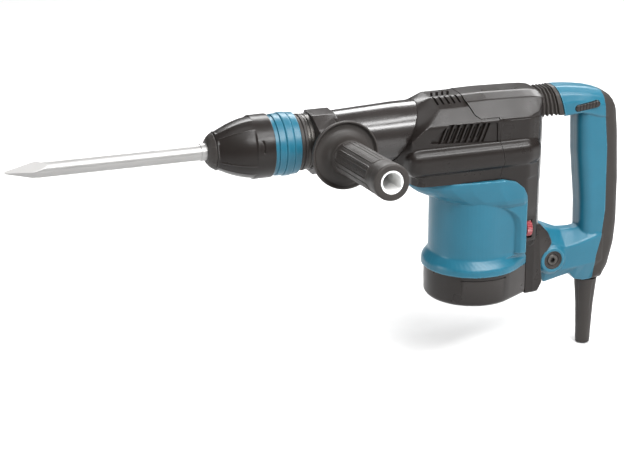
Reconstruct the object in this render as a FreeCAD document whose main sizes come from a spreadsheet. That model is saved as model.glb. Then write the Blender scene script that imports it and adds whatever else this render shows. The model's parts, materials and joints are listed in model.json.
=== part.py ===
"""Demolition hammer with a bull point, built from its separate pieces.

Frame: millimetres, +X runs back along the tool axis from the chuck mouth to the rear handle,
+Z is up, and -Y is the operator's left, where the side grip points.  The origin is the centre
of the chuck mouth on the tool axis.  The motor axis and the crank axis are vertical.
"""
import FreeCAD, Part
import math
import os
import re
import Sketcher
from FreeCAD import Placement, Rotation, Vector

# ---------------------------------------------------------------- driving dimensions (mm, degrees)
SIZES = {
    # chuck, along the tool axis
    "mouth": 0.0, "cap_step": 3.0, "cap_rear": 7.5, "cap_mouth_radius": 9.6,
    "cap_front_radius": 12.0, "cap_mid_radius": 15.5, "cap_rear_radius": 19.5,
    "part_gap": 0.3, "fit_gap": 0.05, "slide_gap": 0.3,
    "cover_rear": 65.5, "cover_skirt": 50.0, "cover_max_radius": 33.1, "cover_wall": 2.3,
    "cover_lip": 4.0,
    "sleeve_front": 24.0, "sleeve_rear": 38.0, "sleeve_radius": 22.0,
    "spring_radius": 21.0, "spring_wire": 1.1, "spring_pitch": 4.5,
    "stop_front": 58.0, "stop_width": 3.0, "stop_radius": 24.0,
    "ring_neck_front": 62.0, "ring_front": 69.5, "ring_rear": 93.7, "ring_radius": 33.0,
    "ring_neck_radius": 30.5, "ring_bore_radius": 30.0, "ring_web_front": 70.0,
    "ring_web_rear": 76.0, "ring_groove_depth": 1.6, "ring_groove_width": 1.4,
    "ring_band": 8.0, "ring_neck_wall": 2.0,
    # tool holder and the tool in it
    "holder_radius": 17.0, "holder_nose_radius": 15.0, "holder_bore": 9.05, "holder_step": 82.0,
    "holder_big_bore": 14.1, "holder_flange_front": 98.0, "holder_flange_radius": 23.0,
    "holder_rear": 107.0, "key_front": 50.0, "key_rear": 68.0, "key_half_width": 2.3,
    "key_tip": 7.3,
    "roller_front": 34.0, "roller_length": 14.0, "roller_radius": 4.4, "roller_offset": 12.4,
    "shank_radius": 9.0, "shank_rear": 84.0, "tool_radius": 8.2, "tool_shoulder": -6.0,
    "point_start": -165.0, "point_tip": -206.0, "point_tip_half": 1.2, "groove_front": 33.0,
    "groove_rear": 74.0, "groove_gap": 0.4, "keyway_front": 12.0, "keyway_depth": 7.0,
    "keyway_half_width": 2.6,
    # impact line
    "bolt_front": 84.3, "bolt_nose_radius": 8.2, "bolt_flange_front": 96.0,
    "bolt_flange_rear": 106.0, "bolt_flange_radius": 14.0, "bolt_tail_radius": 8.5,
    "bolt_rear": 126.0, "guide_front": 108.0, "guide_rear": 118.0,
    "striker_front": 127.0, "striker_step": 134.0, "striker_rear": 169.0,
    "striker_nose_radius": 8.0, "cylinder_bore": 15.0, "cylinder_radius": 17.5,
    "cylinder_front": 119.0, "cylinder_rear": 226.0, "vent_hole_radius": 1.5,
    "piston_front": 181.5, "piston_length": 27.0, "piston_crown": 9.0, "piston_skirt_bore": 11.0,
    "pin_radius": 4.0, "pin_half_length": 13.0, "seal_wire": 1.3,
    "rod_length": 42.0, "rod_small_radius": 7.5, "rod_big_radius": 9.5, "rod_half_thick": 4.5,
    "rod_half_width": 4.0, "rod_big_bore": 5.5,
    # crank and gears
    "crank_x": 256.125, "motor_x": 298.0, "crank_radius": 13.0, "crank_plate_radius": 18.6,
    "crank_plate_top": -9.5, "crank_plate_bottom": -16.0, "crank_stub_top": -6.6,
    "crank_stub_radius": 5.0, "crank_journal_radius": 8.0, "crank_bottom": -45.0,
    "gear_top": -20.0, "gear_bottom": -30.0, "gear_module": 1.25, "gear_teeth": 56,
    "pinion_teeth": 11, "pinion_top": -18.0, "pinion_bottom": -32.0, "pressure_angle": 25.0,
    "tooth_backlash": 0.16,
    # bearings
    "neck_bearing_front": 84.0, "neck_bearing_rear": 97.5, "neck_bearing_radius": 24.0,
    "seal_front": 81.0, "crank_bearing_bottom": -44.0, "crank_bearing_top": -35.0,
    "crank_bearing_radius": 16.0, "motor_bearing_bottom": -45.0, "motor_bearing_top": -36.0,
    "motor_bearing_radius": 13.0, "tail_bearing_bottom": -179.0, "tail_bearing_top": -171.0,
    "tail_bearing_radius": 11.0,
    # barrel
    "neck_front": 94.0, "neck_rear": 101.5, "barrel_radius": 29.5, "barrel_rear": 210.0,
    "barrel_seat": 24.05, "barrel_hold_rear": 140.0, "barrel_bore": 24.0, "neck_groove": 1.2,
    # main housing, cross-sections in Y and Z
    "sleeve_start": 190.0, "nose_x": 212.0, "full_x": 240.0, "seam_x": 309.0,
    "top_z": 41.0, "seam_z": 13.0, "belly_z": -50.0, "wall": 3.0,
    "sleeve_outer": 32.5, "crest_half": 22.0, "crease_half": 27.0, "crease_z": 34.0,
    "shoulder_half": 41.5, "waist_z": -8.0, "bulge_half": 49.0, "bulge_top": -18.0,
    "bulge_low": -40.0, "belly_half": 45.0, "nose_shrink": 0.74,
    "slot_count": 5, "slot_width": 6.0, "slot_pitch": 10.0, "slot_start": 250.0,
    "slot_low": -5.0, "slot_high": 11.0, "slot_lean": 8.0,
    "top_slot_count": 5, "top_slot_start": 238.0, "top_slot_pitch": 7.0, "top_slot_width": 3.0,
    "top_slot_near": 6.0, "top_slot_far": 18.0,
    # top and rear covers
    "top_front": 275.3, "top_taper_x": 345.0, "rear_x": 366.0, "top_shrink": 0.86,
    "rear_side_x": 343.0, "rear_corner_x": 357.0, "rear_corner_half": 40.0,
    "rear_end_half": 28.0,
    "column_x": 342.5, "column_half": 41.0, "column_mid_x": 356.0, "column_mid_half": 36.0,
    "column_end_half": 22.0, "column_low_z": -128.0, "foot_half": 29.0, "foot_mid_half": 26.0,
    "foot_end_x": 368.0, "foot_end_half": 21.5, "foot_z": -191.0,
    "lug_half": 12.5, "lug_radius": 11.0, "pivot_x": 384.0, "pivot_z": -157.0,
    "dial_x": 347.5, "dial_z": -112.0, "dial_axis_y": -33.5, "dial_radius": 9.5,
    "dial_width": 6.4, "dial_slot_half": 9.6, "dial_slot_gap": 0.6,
    # motor housing and base
    "motor_radius": 48.5, "motor_bore": 45.5, "blue_rear_x": 342.2, "shelf_top": -50.3,
    "shelf_bottom": -64.0, "shelf_nose_x": 232.0, "shelf_nose_half": 22.0, "shelf_side_x": 262.0,
    "shelf_side_half": 44.0, "shelf_wide_x": 275.0, "shelf_half": 48.0, "skirt_top": -144.0,
    "skirt_bottom": -155.7, "skirt_radius": 55.0, "base_top": -156.0, "base_radius": 51.0,
    "base_rear_half": 29.5, "base_floor": 4.0, "boss_radius": 14.5,
    "base_screw_ring": 41.0, "base_screw_count": 4, "base_screw_radius": 2.5,
    "screw_head_radius": 4.5, "screw_head_height": 2.5, "base_screw_top": -168.0,
    "base_screw_turn": 45.0,
    # motor
    "shaft_radius": 5.0, "shaft_top": -14.0, "tail_radius": 4.0, "tail_step": -165.0,
    "tail_end": -180.0, "core_radius": 25.0, "core_top": -85.0, "core_bottom": -135.0,
    "coil_radius": 20.0, "coil_length": 7.0, "commutator_radius": 14.0,
    "commutator_top": -145.0, "commutator_bottom": -161.0, "fan_radius": 40.0, "fan_top": -54.0,
    "fan_bottom": -70.0, "fan_plate": 2.0, "fan_hub_radius": 10.0, "fan_blades": 12,
    "blade_thickness": 1.6, "blade_inner": 16.0, "stator_radius": 45.3, "stator_bore": 26.0,
    "field_coil_length": 7.0, "field_coil_outer": 38.0, "field_coil_half": 16.0,
    "baffle_top": -73.0, "baffle_bottom": -75.5, "baffle_bore": 31.0, "brush_z": -153.0,
    "brush_half": 4.0, "brush_inner": 14.1, "brush_outer": 30.0, "holder_wall": 1.4,
    "holder_inner": 18.0, "holder_outer": 38.0,
    # gear housing
    "plate_top": -34.5, "plate_bottom": -46.0, "plate_front": 235.0, "plate_front_half": 33.0,
    "plate_side_x": 246.0, "plate_half": 40.0, "plate_rear": 322.0, "bearing_lip": 2.0,
    # controller
    "board_x": 352.0, "board_thick": 4.0, "board_half": 17.0, "board_top": -75.0,
    "board_bottom": -125.0,
    # rear handle, side view in X and Z
    "handle_front": 390.5, "limb_low": 4.0, "limb_top": 35.0, "limb_mid_x": 404.0,
    "limb_back_x": 442.0, "limb_back_z": 28.0, "split_top_x": 446.0, "split_top_z": 27.0,
    "split_mid_x": 448.0, "split_mid_z": -60.0, "split_low_x": 450.0, "split_low_z": -125.0,
    "split_end_x": 441.0, "handle_bottom": -196.0, "heel_x": 416.0, "heel_z": -190.0,
    "arm_low": -183.5, "arm_front": 370.0, "arm_low_x": 376.0, "arm_top_front": -118.0,
    "arm_top": -120.0, "arm_top_x": 413.0, "grip_low_x": 430.0, "grip_low_z": -108.0,
    "grip_top_x": 419.0, "grip_top_z": -4.0,
    "handle_half": 17.5, "limb_half": 21.0, "arm_half": 24.0, "cheek_half": 27.0,
    "seam_gap": 0.05, "cheek_gap": 12.8, "cheek_back": 399.0, "handle_wall": 3.0,
    "bush_radius": 10.0, "pivot_pin_radius": 5.0, "pin_head_radius": 7.0,
    "pin_head_height": 1.4,
    "pad_rear_top_x": 456.0, "pad_rear_top_z": 19.0, "pad_corner_x": 466.0,
    "pad_corner_z": -9.0, "pad_back_x": 472.0, "pad_back_z": -125.0, "pad_heel_x": 466.0,
    "pad_heel_z": -166.0, "pad_end_x": 452.0, "pad_gap": 0.2, "pad_half": 16.5,
    # switch and handle hardware
    "lever_front": 406.0, "lever_rear": 435.0, "lever_low": 8.5, "lever_high": 15.5,
    "lever_out": 22.3, "lever_in": 18.3, "lever_gap": 0.6, "switch_front": 426.0,
    "switch_rear": 442.0, "switch_low": -44.0, "switch_high": 3.0, "switch_half": 10.0,
    "screw_radius": 2.0,
    # bellows and damper spring
    "bellows_front": 366.4, "bellows_rear": 390.2, "bellows_half": 21.0, "bellows_top": 35.0,
    "bellows_low": 4.5, "bellows_shoulder_z": 24.0, "bellows_crest_half": 14.0,
    "bellows_wall": 2.2, "damper_radius": 7.0, "damper_wire": 1.1, "damper_z": 19.0,
    "damper_pitch": 4.0,
    # cord guard
    "guard_x": 438.0, "guard_top": -196.4, "guard_knee": -223.0, "guard_end": -270.0,
    "guard_top_radius": 12.4, "guard_knee_radius": 8.9, "guard_end_radius": 7.4,
    "guard_bore": 4.2, "guard_neck_radius": 8.0, "guard_neck_top": -186.0,
    # side grip, distances along its own axis
    "grip_x": 122.7, "grip_roll": 5.0, "saddle_front": 109.7, "saddle_rear": 135.6,
    "saddle_top": 32.5, "saddle_crest": 14.0, "saddle_knee_y": 34.0, "saddle_knee_z": 21.0,
    "saddle_out": 48.0, "saddle_out_z": 12.0, "saddle_hole": 5.3, "band_front": 116.0,
    "band_rear": 129.4, "band_thick": 2.0, "band_start": 14.3, "stud_radius": 5.0,
    "stud_start": 31.0, "stud_end": 66.0, "flange_start": 50.5, "flange_hub_radius": 17.0,
    "flange_waist": 60.0, "flange_rim_start": 74.0, "flange_rim_end": 80.0,
    "flange_radius": 35.0, "flange_hub_end": 68.0, "sleeve_bore": 12.6, "grip_radius": 17.5,
    "grip_bead_start": 192.0, "grip_bead_radius": 18.8, "grip_end": 205.0,
    "liner_bore": 10.0, "liner_floor": 120.0, "liner_web": 4.0,
}

doc = FreeCAD.newDocument("DemolitionHammer")
sheet = doc.addObject("Spreadsheet::Sheet", "Sizes")
for row, (alias, value) in enumerate(SIZES.items(), 1):
    sheet.set("A%d" % row, alias)
    sheet.set("B%d" % row, str(value))
    sheet.setAlias("B%d" % row, alias)
doc.recompute()

WORD = re.compile(r"[a-z][a-z_]*")
EPSILON = 1e-6
NODES = []


# ---------------------------------------------------------------- helpers
def linked(text):
    """An expression in which every sheet alias is written as a reference to its cell."""
    return WORD.sub(lambda w: "Sizes." + w.group() if w.group() in SIZES else w.group(), str(text))


def number(text):
    """The present value of an expression over the sheet."""
    return float(sheet.evalExpression(linked(text)))


def node(obj, label):
    """Marks an object as a sub-part: its label names the file it is exported to."""
    obj.Label = label
    NODES.append(obj)
    return obj


def new_body(label):
    return node(doc.addObject("PartDesign::Body", label), label)


def place(obj, x="0", y="0", z="0", turn=None):
    """Puts an object at a position bound to the sheet, with an optional rotation."""
    base = Vector(number(x), number(y), number(z))
    obj.Placement = Placement(base, turn or Rotation())
    for axis, text in (("x", x), ("y", y), ("z", z)):
        obj.setExpression("Placement.Base." + axis, linked(text))
    return obj


def mirrored(points):
    """Half an outline, given on the +Y side, closed by its mirror image."""
    return list(points) + [("-(%s)" % y, z) for y, z in reversed(points)]


def scaled(points, factor):
    return [("(%s)*%s" % (y, factor), "(%s)*%s" % (z, factor)) for y, z in points]


def circle(x, y, radius):
    return ("circle", x, y, radius)


def add_loop(sketch, points):
    """A closed straight-sided loop whose corners are bound to the sheet."""
    corners = [Vector(number(x), number(y), 0) for x, y in points]
    first, count = sketch.GeometryCount, len(corners)
    lines = [Part.LineSegment(corners[i], corners[(i + 1) % count]) for i in range(count)]
    sketch.addGeometry(lines)
    for i in range(count):
        joined = Sketcher.Constraint("Coincident", first + i, 2, first + (i + 1) % count, 1)
        sketch.addConstraint(joined)
    for i, pair in enumerate(points):
        for kind, text in zip(("DistanceX", "DistanceY"), pair):
            size = Sketcher.Constraint(kind, -1, 1, first + i, 1, number(text))
            index = sketch.addConstraint(size)
            sketch.setExpression("Constraints[%d]" % index, linked(text))


def add_circle(sketch, x, y, radius):
    centre = Vector(number(x), number(y), 0)
    index = sketch.addGeometry(Part.Circle(centre, Vector(0, 0, 1), number(radius)))
    for kind, text in (("DistanceX", x), ("DistanceY", y)):
        size = Sketcher.Constraint(kind, -1, 1, index, 3, number(text))
        sketch.setExpression("Constraints[%d]" % sketch.addConstraint(size), linked(text))
    size = Sketcher.Constraint("Radius", index, number(radius))
    sketch.setExpression("Constraints[%d]" % sketch.addConstraint(size), linked(radius))


def draw(body, plane, loops, offset="0"):
    """A sketch on one of the body's own origin planes, shifted along that plane's normal."""
    sketch = body.newObject("Sketcher::SketchObject", body.Name + "Sketch")
    origin_plane = next(f for f in body.Origin.OriginFeatures if f.Role == plane)
    sketch.AttachmentSupport = [(origin_plane, "")]
    sketch.MapMode = "FlatFace"
    sketch.AttachmentOffset = Placement(Vector(0, 0, number(offset)), Rotation())
    sketch.setExpression("AttachmentOffset.Base.z", linked(offset))
    for loop in loops:
        if loop[0] == "circle":
            add_circle(sketch, *loop[1:])
        else:
            add_loop(sketch, loop)
    return sketch


def pad(body, plane, loops, low, high):
    """Material between two stations along the plane's world axis (X, Y or Z)."""
    start = "-(%s)" % high if plane == "XZ_Plane" else low
    feature = body.newObject("PartDesign::Pad", body.Name + "Pad")
    feature.Profile = draw(body, plane, loops, start)
    feature.setExpression("Length", linked("(%s)-(%s)" % (high, low)))
    return feature


def pocket(body, plane, loops, low, high):
    """Removes material between two stations and checks that some was removed."""
    doc.recompute()
    before = body.Shape.Volume
    start = "-(%s)" % low if plane == "XZ_Plane" else high
    feature = body.newObject("PartDesign::Pocket", body.Name + "Pocket")
    feature.Profile = draw(body, plane, loops, start)
    feature.setExpression("Length", linked("(%s)-(%s)" % (high, low)))
    doc.recompute()
    if body.Shape.Volume > before - EPSILON:
        raise RuntimeError("%s cuts nothing" % feature.Name)
    return feature


def revolve(body, profile, axis, kind="PartDesign::Revolution", plane="XZ_Plane"):
    feature = body.newObject(kind, body.Name + "Turn")
    sketch = draw(body, plane, [profile])
    feature.Profile = sketch
    feature.ReferenceAxis = (sketch, [axis])
    feature.Angle = 360
    return feature


def turned_on_tool_axis(label, profile):
    """A turned piece on the tool axis; the profile is a list of (station, radius)."""
    body = new_body(label)
    revolve(body, profile, "H_Axis")
    return body


def turned_upright(label, profile, x="0", z="0"):
    """A turned piece on a vertical axis; the profile is a list of (radius, height)."""
    body = new_body(label)
    revolve(body, profile, "V_Axis")
    return place(body, x, "0", z)


def loft(body, sections, additive=True):
    """A straight-sided loft through outlines given as (station on X, points)."""
    kind = "PartDesign::AdditiveLoft" if additive else "PartDesign::SubtractiveLoft"
    feature = body.newObject(kind, body.Name + "Loft")
    sketches = [draw(body, "YZ_Plane", [points], x) for x, points in sections]
    feature.Profile = sketches[0]
    feature.Sections = sketches[1:]
    feature.Ruled = True
    return feature


def primitive(kind, name, sizes, at, turn=None):
    obj = doc.addObject(kind, name)
    for key, text in sizes.items():
        obj.setExpression(key, linked(text))
    return place(obj, *at, turn=turn)


DIRECTIONS = {
    "X": Rotation(Vector(0, 1, 0), 90),
    "Y": Rotation(Vector(1, 0, 0), -90),
    "Z": Rotation(),
}


def rod(name, radius, length, at, along):
    """A round bar from a point, running the positive way along an axis."""
    sizes = {"Radius": radius, "Height": length}
    return primitive("Part::Cylinder", name, sizes, at, DIRECTIONS[along])


def block(name, low, high):
    sizes = {k: "(%s)-(%s)" % (b, a) for k, a, b in zip(("Length", "Width", "Height"), low, high)}
    return primitive("Part::Box", name, sizes, low)


def combined(name, shapes):
    obj = doc.addObject("Part::MultiFuse", name)
    obj.Shapes = shapes
    return obj


def difference(name, base, tool):
    obj = doc.addObject("Part::Cut", name)
    obj.Base = base
    obj.Tool = tool
    return obj


def tube(name, outer, inner, length, at, along):
    body = rod(name + "Outer", outer, length, at, along)
    hole = rod(name + "Inner", inner, length, at, along)
    return difference(name, body, hole)


def coil_spring(label, radius, wire, pitch, height, at, turn):
    """An open coil spring: a circle swept along a helix."""
    helix = doc.addObject("Part::Helix", label + "_path")
    for key, text in {"Radius": radius, "Pitch": pitch, "Height": height}.items():
        helix.setExpression(key, linked(text))
    section = doc.addObject("Part::Circle", label + "_section")
    section.setExpression("Radius", linked(wire))
    place(section, radius, "0", "0", Rotation(Vector(1, 0, 0), 90))
    sweep = doc.addObject("Part::Sweep", label)
    sweep.Sections = [section]
    sweep.Spine = (helix, ["Edge1"])
    sweep.Solid = True
    sweep.Frenet = True
    return node(place(sweep, *at, turn=turn), label)


def ball_bearing(label, x, bottom, top, outer, inner, balls=8):
    """Outer race, inner race and balls on a vertical axis, as separate solids."""
    width = "(%s)-(%s)" % (top, bottom)
    race = "((%s)-(%s))*0.27" % (outer, inner)
    at = (x, "0", bottom)
    outer_race = tube(label + "_outer", outer, "(%s)-%s" % (outer, race), width, at, "Z")
    inner_race = tube(label + "_inner", "(%s)+%s" % (inner, race), inner, width, at, "Z")
    pieces = [outer_race, inner_race]
    middle = "((%s)+(%s))/2" % (outer, inner)
    for i in range(balls):
        angle = 2 * math.pi * i / balls
        spot = ("(%s)+(%s)*%.6f" % (x, middle, math.cos(angle)),
                "(%s)*%.6f" % (middle, math.sin(angle)), "((%s)+(%s))/2" % (bottom, top))
        size = {"Radius": "((%s)-(%s))*0.22" % (outer, inner)}
        pieces.append(primitive("Part::Sphere", label + "_ball", size, spot))
    return pieces


# ---------------------------------------------------------------- chuck
def front_cap():
    turned_on_tool_axis("front_cap", [
        ("mouth", "cap_mouth_radius"), ("mouth", "cap_front_radius"),
        ("cap_step", "cap_mid_radius"), ("cap_rear", "cap_rear_radius"),
        ("cap_rear", "holder_nose_radius+fit_gap"), ("cap_step", "holder_nose_radius+fit_gap"),
        ("cap_step", "cap_mouth_radius")])


def release_cover():
    """The sliding chuck cover: a convex cone of wall thickness cover_wall with a front lip."""
    front = "cap_rear+part_gap"
    turned_on_tool_axis("release_cover", [
        (front, "holder_radius+slide_gap"), (front, "cap_rear_radius"),
        ("cap_rear+12", "cap_rear_radius+6.3"), ("cap_rear+27", "cap_rear_radius+11.2"),
        ("cover_skirt", "cover_max_radius"), ("cover_rear", "cover_max_radius"),
        ("cover_rear", "cover_max_radius-cover_wall"),
        ("cover_skirt", "cover_max_radius-cover_wall"),
        ("cap_rear+27", "cap_rear_radius+11.2-cover_wall*1.1"),
        ("cap_rear+12", "cap_rear_radius+6.3-cover_wall*1.2"),
        ("cap_rear+cover_lip", "holder_radius+slide_gap")])


def release_sleeve():
    """The steel sleeve inside the cover that holds the locking rollers in."""
    turned_on_tool_axis("release_sleeve", [
        ("sleeve_front", "holder_radius+slide_gap"), ("sleeve_front", "sleeve_radius"),
        ("sleeve_rear", "sleeve_radius"), ("sleeve_rear", "holder_radius+slide_gap")])


def change_ring():
    """Three raised bands on a sleeve, a neck under the cover's skirt and a driving web."""
    profile = [("ring_web_front", "holder_radius+slide_gap"),
               ("ring_web_front", "ring_neck_radius-ring_neck_wall"),
               ("ring_neck_front", "ring_neck_radius-ring_neck_wall"),
               ("ring_neck_front", "ring_neck_radius"), ("ring_front", "ring_neck_radius")]
    for band in range(3):
        start = "ring_front+ring_band*%d" % band
        end = "%s+ring_band-ring_groove_width" % start if band < 2 else "ring_rear"
        profile += [(start, "ring_radius-%s" % (0.0 if band < 2 else 0.5)),
                    (end, "ring_radius-%s" % (0.0 if band < 2 else 0.5))]
        if band < 2:
            after = "ring_front+ring_band*%d" % (band + 1)
            profile += [(end, "ring_radius-ring_groove_depth"),
                        (after, "ring_radius-ring_groove_depth")]
    profile += [("ring_rear", "ring_bore_radius"), ("ring_web_rear", "ring_bore_radius"),
                ("ring_web_rear", "holder_radius+slide_gap")]
    turned_on_tool_axis("change_ring", profile)


def tool_holder():
    """The steel sleeve for the tool shank: a spring collar, driving keys and roller slots."""
    body = turned_on_tool_axis("tool_holder", [
        ("cap_step+fit_gap", "holder_bore"), ("cap_step+fit_gap", "holder_nose_radius"),
        ("cap_rear+fit_gap", "holder_nose_radius"), ("cap_rear+fit_gap", "holder_radius"),
        ("stop_front", "holder_radius"), ("stop_front", "stop_radius"),
        ("stop_front+stop_width", "stop_radius"), ("stop_front+stop_width", "holder_radius"),
        ("holder_flange_front", "holder_radius"), ("holder_flange_front", "holder_flange_radius"),
        ("holder_rear", "holder_flange_radius"), ("holder_rear", "holder_big_bore"),
        ("holder_step", "holder_big_bore"), ("holder_step", "holder_bore")])
    for side in ("key_tip", "-holder_bore-1"):
        low, high = side, "%s+holder_bore+1-key_tip" % side
        key = [(low, "-key_half_width"), (high, "-key_half_width"),
               (high, "key_half_width"), (low, "key_half_width")]
        pad(body, "YZ_Plane", [key], "key_front", "key_rear")
    slot_half = "roller_radius+0.2"
    slot = [("roller_front-0.2", "-(%s)" % slot_half),
            ("roller_front+roller_length+0.2", "-(%s)" % slot_half),
            ("roller_front+roller_length+0.2", slot_half), ("roller_front-0.2", slot_half)]
    pocket(body, "XY_Plane", [slot], "-holder_radius-1", "holder_radius+1")


def lock_rollers():
    pieces = [rod("roller", "roller_radius", "roller_length",
                  ("roller_front", "0", "%sroller_offset" % sign), "X") for sign in ("", "-")]
    node(combined("lock_rollers", pieces), "lock_rollers")


def chisel():
    """Bull point: a round bar with a four-sided point and a grooved shank."""
    body = turned_on_tool_axis("chisel", [
        ("point_start", "0"), ("point_start", "tool_radius"), ("tool_shoulder", "tool_radius"),
        ("tool_shoulder", "shank_radius"), ("shank_rear", "shank_radius"), ("shank_rear", "0")])
    half = "tool_radius*0.99"
    square = [(half, "0"), ("0", half), ("-" + half, "0"), ("0", "-" + half)]
    tip = [("point_tip_half", "0"), ("0", "point_tip_half"), ("-point_tip_half", "0"),
           ("0", "-point_tip_half")]
    loft(body, [("point_start+0.01", square), ("point_tip", tip)])
    grooves = [circle("0", "roller_offset", "roller_radius+groove_gap"),
               circle("0", "-roller_offset", "roller_radius+groove_gap")]
    pocket(body, "YZ_Plane", grooves, "groove_front", "groove_rear")
    for near, far in (("keyway_depth", "shank_radius+1"), ("-shank_radius-1", "-keyway_depth")):
        keyway = [(near, "-keyway_half_width"), (far, "-keyway_half_width"),
                  (far, "keyway_half_width"), (near, "keyway_half_width")]
        pocket(body, "YZ_Plane", [keyway], "keyway_front", "shank_rear+1")


# ---------------------------------------------------------------- barrel and impact line
def neck_ring():
    turned_on_tool_axis("neck_ring", [
        ("neck_front", "barrel_seat"), ("neck_front", "barrel_radius"),
        ("neck_front+2.5", "barrel_radius"), ("neck_front+2.5", "barrel_radius-neck_groove"),
        ("neck_front+4.5", "barrel_radius-neck_groove"), ("neck_front+4.5", "barrel_radius"),
        ("neck_rear-0.02", "barrel_radius"), ("neck_rear-0.02", "barrel_seat")])


def front_seal():
    turned_on_tool_axis("front_oil_seal", [
        ("seal_front", "holder_radius+fit_gap"), ("seal_front", "neck_bearing_radius"),
        ("neck_bearing_front-fit_gap", "neck_bearing_radius"),
        ("neck_bearing_front-fit_gap", "holder_radius+fit_gap")])


def neck_bearing():
    turned_on_tool_axis("holder_bearing", [
        ("neck_bearing_front", "holder_radius+fit_gap"),
        ("neck_bearing_front", "neck_bearing_radius"),
        ("neck_bearing_rear", "neck_bearing_radius"),
        ("neck_bearing_rear", "holder_radius+fit_gap")])


def barrel_housing():
    turned_on_tool_axis("barrel_housing", [
        ("neck_rear", "barrel_seat"), ("neck_rear", "barrel_radius"),
        ("barrel_rear", "barrel_radius"), ("barrel_rear", "cylinder_radius+fit_gap"),
        ("barrel_rear-10", "cylinder_radius+fit_gap"), ("barrel_rear-10", "barrel_bore"),
        ("barrel_hold_rear", "barrel_bore"), ("barrel_hold_rear", "cylinder_radius+fit_gap"),
        ("guide_rear+fit_gap", "cylinder_radius+fit_gap"), ("guide_rear+fit_gap", "barrel_seat")])


def guide_ring():
    turned_on_tool_axis("bolt_guide_ring", [
        ("guide_front", "bolt_tail_radius+fit_gap"), ("guide_front", "neck_bearing_radius"),
        ("guide_rear", "neck_bearing_radius"), ("guide_rear", "bolt_tail_radius+fit_gap")])


def impact_bolt():
    turned_on_tool_axis("impact_bolt", [
        ("bolt_front", "0"), ("bolt_front", "bolt_nose_radius"),
        ("bolt_flange_front", "bolt_nose_radius"), ("bolt_flange_front", "bolt_flange_radius"),
        ("bolt_flange_rear", "bolt_flange_radius"), ("bolt_flange_rear", "bolt_tail_radius"),
        ("bolt_rear", "bolt_tail_radius"), ("bolt_rear", "0")])


def seal_groove(at):
    """A groove for an O-ring in a piston, as (station, radius) points."""
    running = "cylinder_bore-fit_gap"
    return [("%s-seal_wire-0.1" % at, running),
            ("%s-seal_wire-0.1" % at, "%s-seal_wire*2-0.1" % running),
            ("%s+seal_wire+0.1" % at, "%s-seal_wire*2-0.1" % running),
            ("%s+seal_wire+0.1" % at, running)]


def striker():
    running = "cylinder_bore-fit_gap"
    turned_on_tool_axis("striker", [
        ("striker_front", "0"), ("striker_front", "striker_nose_radius"),
        ("striker_step", "striker_nose_radius"), ("striker_step", running)]
        + seal_groove("striker_rear-8") + [("striker_rear", running), ("striker_rear", "0")])


def o_ring(label, at):
    """A rubber ring whose outer edge just clears the cylinder bore."""
    size = {"Radius1": "cylinder_bore-fit_gap-seal_wire", "Radius2": "seal_wire"}
    node(primitive("Part::Torus", label, size, (at, "0", "0"), DIRECTIONS["X"]), label)


def cylinder():
    body = turned_on_tool_axis("cylinder", [
        ("cylinder_front", "cylinder_bore"), ("cylinder_front", "cylinder_radius"),
        ("cylinder_rear", "cylinder_radius"), ("cylinder_rear", "cylinder_bore")])
    hole = circle("striker_rear+6", "0", "vent_hole_radius")
    pocket(body, "XY_Plane", [hole], "-cylinder_radius-1", "cylinder_radius+1")


def piston():
    running = "cylinder_bore-fit_gap"
    rear = "piston_front+piston_length"
    body = turned_on_tool_axis(
        "piston", [("piston_front", "0"), ("piston_front", running)]
        + seal_groove("piston_front+4")
        + [(rear, running), (rear, "piston_skirt_bore"),
           ("piston_front+piston_crown", "piston_skirt_bore"), ("piston_front+piston_crown", "0")])
    hole = circle("crank_x-crank_radius-rod_length", "0", "pin_radius+0.02")
    pocket(body, "XY_Plane", [hole], "-cylinder_bore-1", "cylinder_bore+1")


def wrist_pin():
    at = ("crank_x-crank_radius-rod_length", "0", "-pin_half_length")
    node(rod("wrist_pin", "pin_radius", "pin_half_length*2", at, "Z"), "wrist_pin")


def connecting_rod():
    """Two eyes and a flat beam; the big eye stands just above the crank stub."""
    body = new_body("connecting_rod")
    small_x, big_x = "crank_x-crank_radius-rod_length", "crank_x-crank_radius"
    beam = [(small_x, "-rod_half_width"), (big_x, "-rod_half_width"),
            (big_x, "rod_half_width"), (small_x, "rod_half_width")]
    pad(body, "XY_Plane", [beam], "-rod_half_thick", "rod_half_thick")
    for x, radius in ((small_x, "rod_small_radius"), (big_x, "rod_big_radius")):
        pad(body, "XY_Plane", [circle(x, "0", radius)], "-rod_half_thick", "rod_half_thick")
    for x, radius in ((small_x, "pin_radius+fit_gap"), (big_x, "rod_big_bore")):
        pocket(body, "XY_Plane", [circle(x, "0", radius)], "-rod_half_thick-1",
               "rod_half_thick+1")


# ---------------------------------------------------------------- crank, gears and motor
def involute_gear(teeth, height, bore):
    """A spur gear about Z with a tooth on +X, its flanks true involutes."""
    module = number("gear_module")
    pressure = math.radians(number("pressure_angle"))
    pitch = module * teeth / 2
    base, tip, root = pitch * math.cos(pressure), pitch + module, pitch - 1.25 * module
    half = math.pi / (2 * teeth) - number("tooth_backlash") / (4 * pitch)
    shift = half + math.tan(pressure) - pressure
    flank = [(root, shift)] if root < base else []
    steps = 5
    for i in range(steps):
        radius = max(base, root) + (tip - max(base, root)) * i / (steps - 1)
        roll = math.acos(min(1.0, base / radius))
        flank.append((radius, shift - (math.tan(roll) - roll)))
    tooth = [(r, -a) for r, a in flank] + [(r, a) for r, a in reversed(flank)]
    points = []
    for i in range(teeth):
        turn = 2 * math.pi * i / teeth
        points += [Vector(r * math.cos(turn + a), r * math.sin(turn + a), 0) for r, a in tooth]
    face = Part.Face(Part.makePolygon(points + points[:1]))
    solid = face.extrude(Vector(0, 0, height))
    if bore:
        solid = solid.cut(Part.makeCylinder(bore, height))
    return solid


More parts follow.
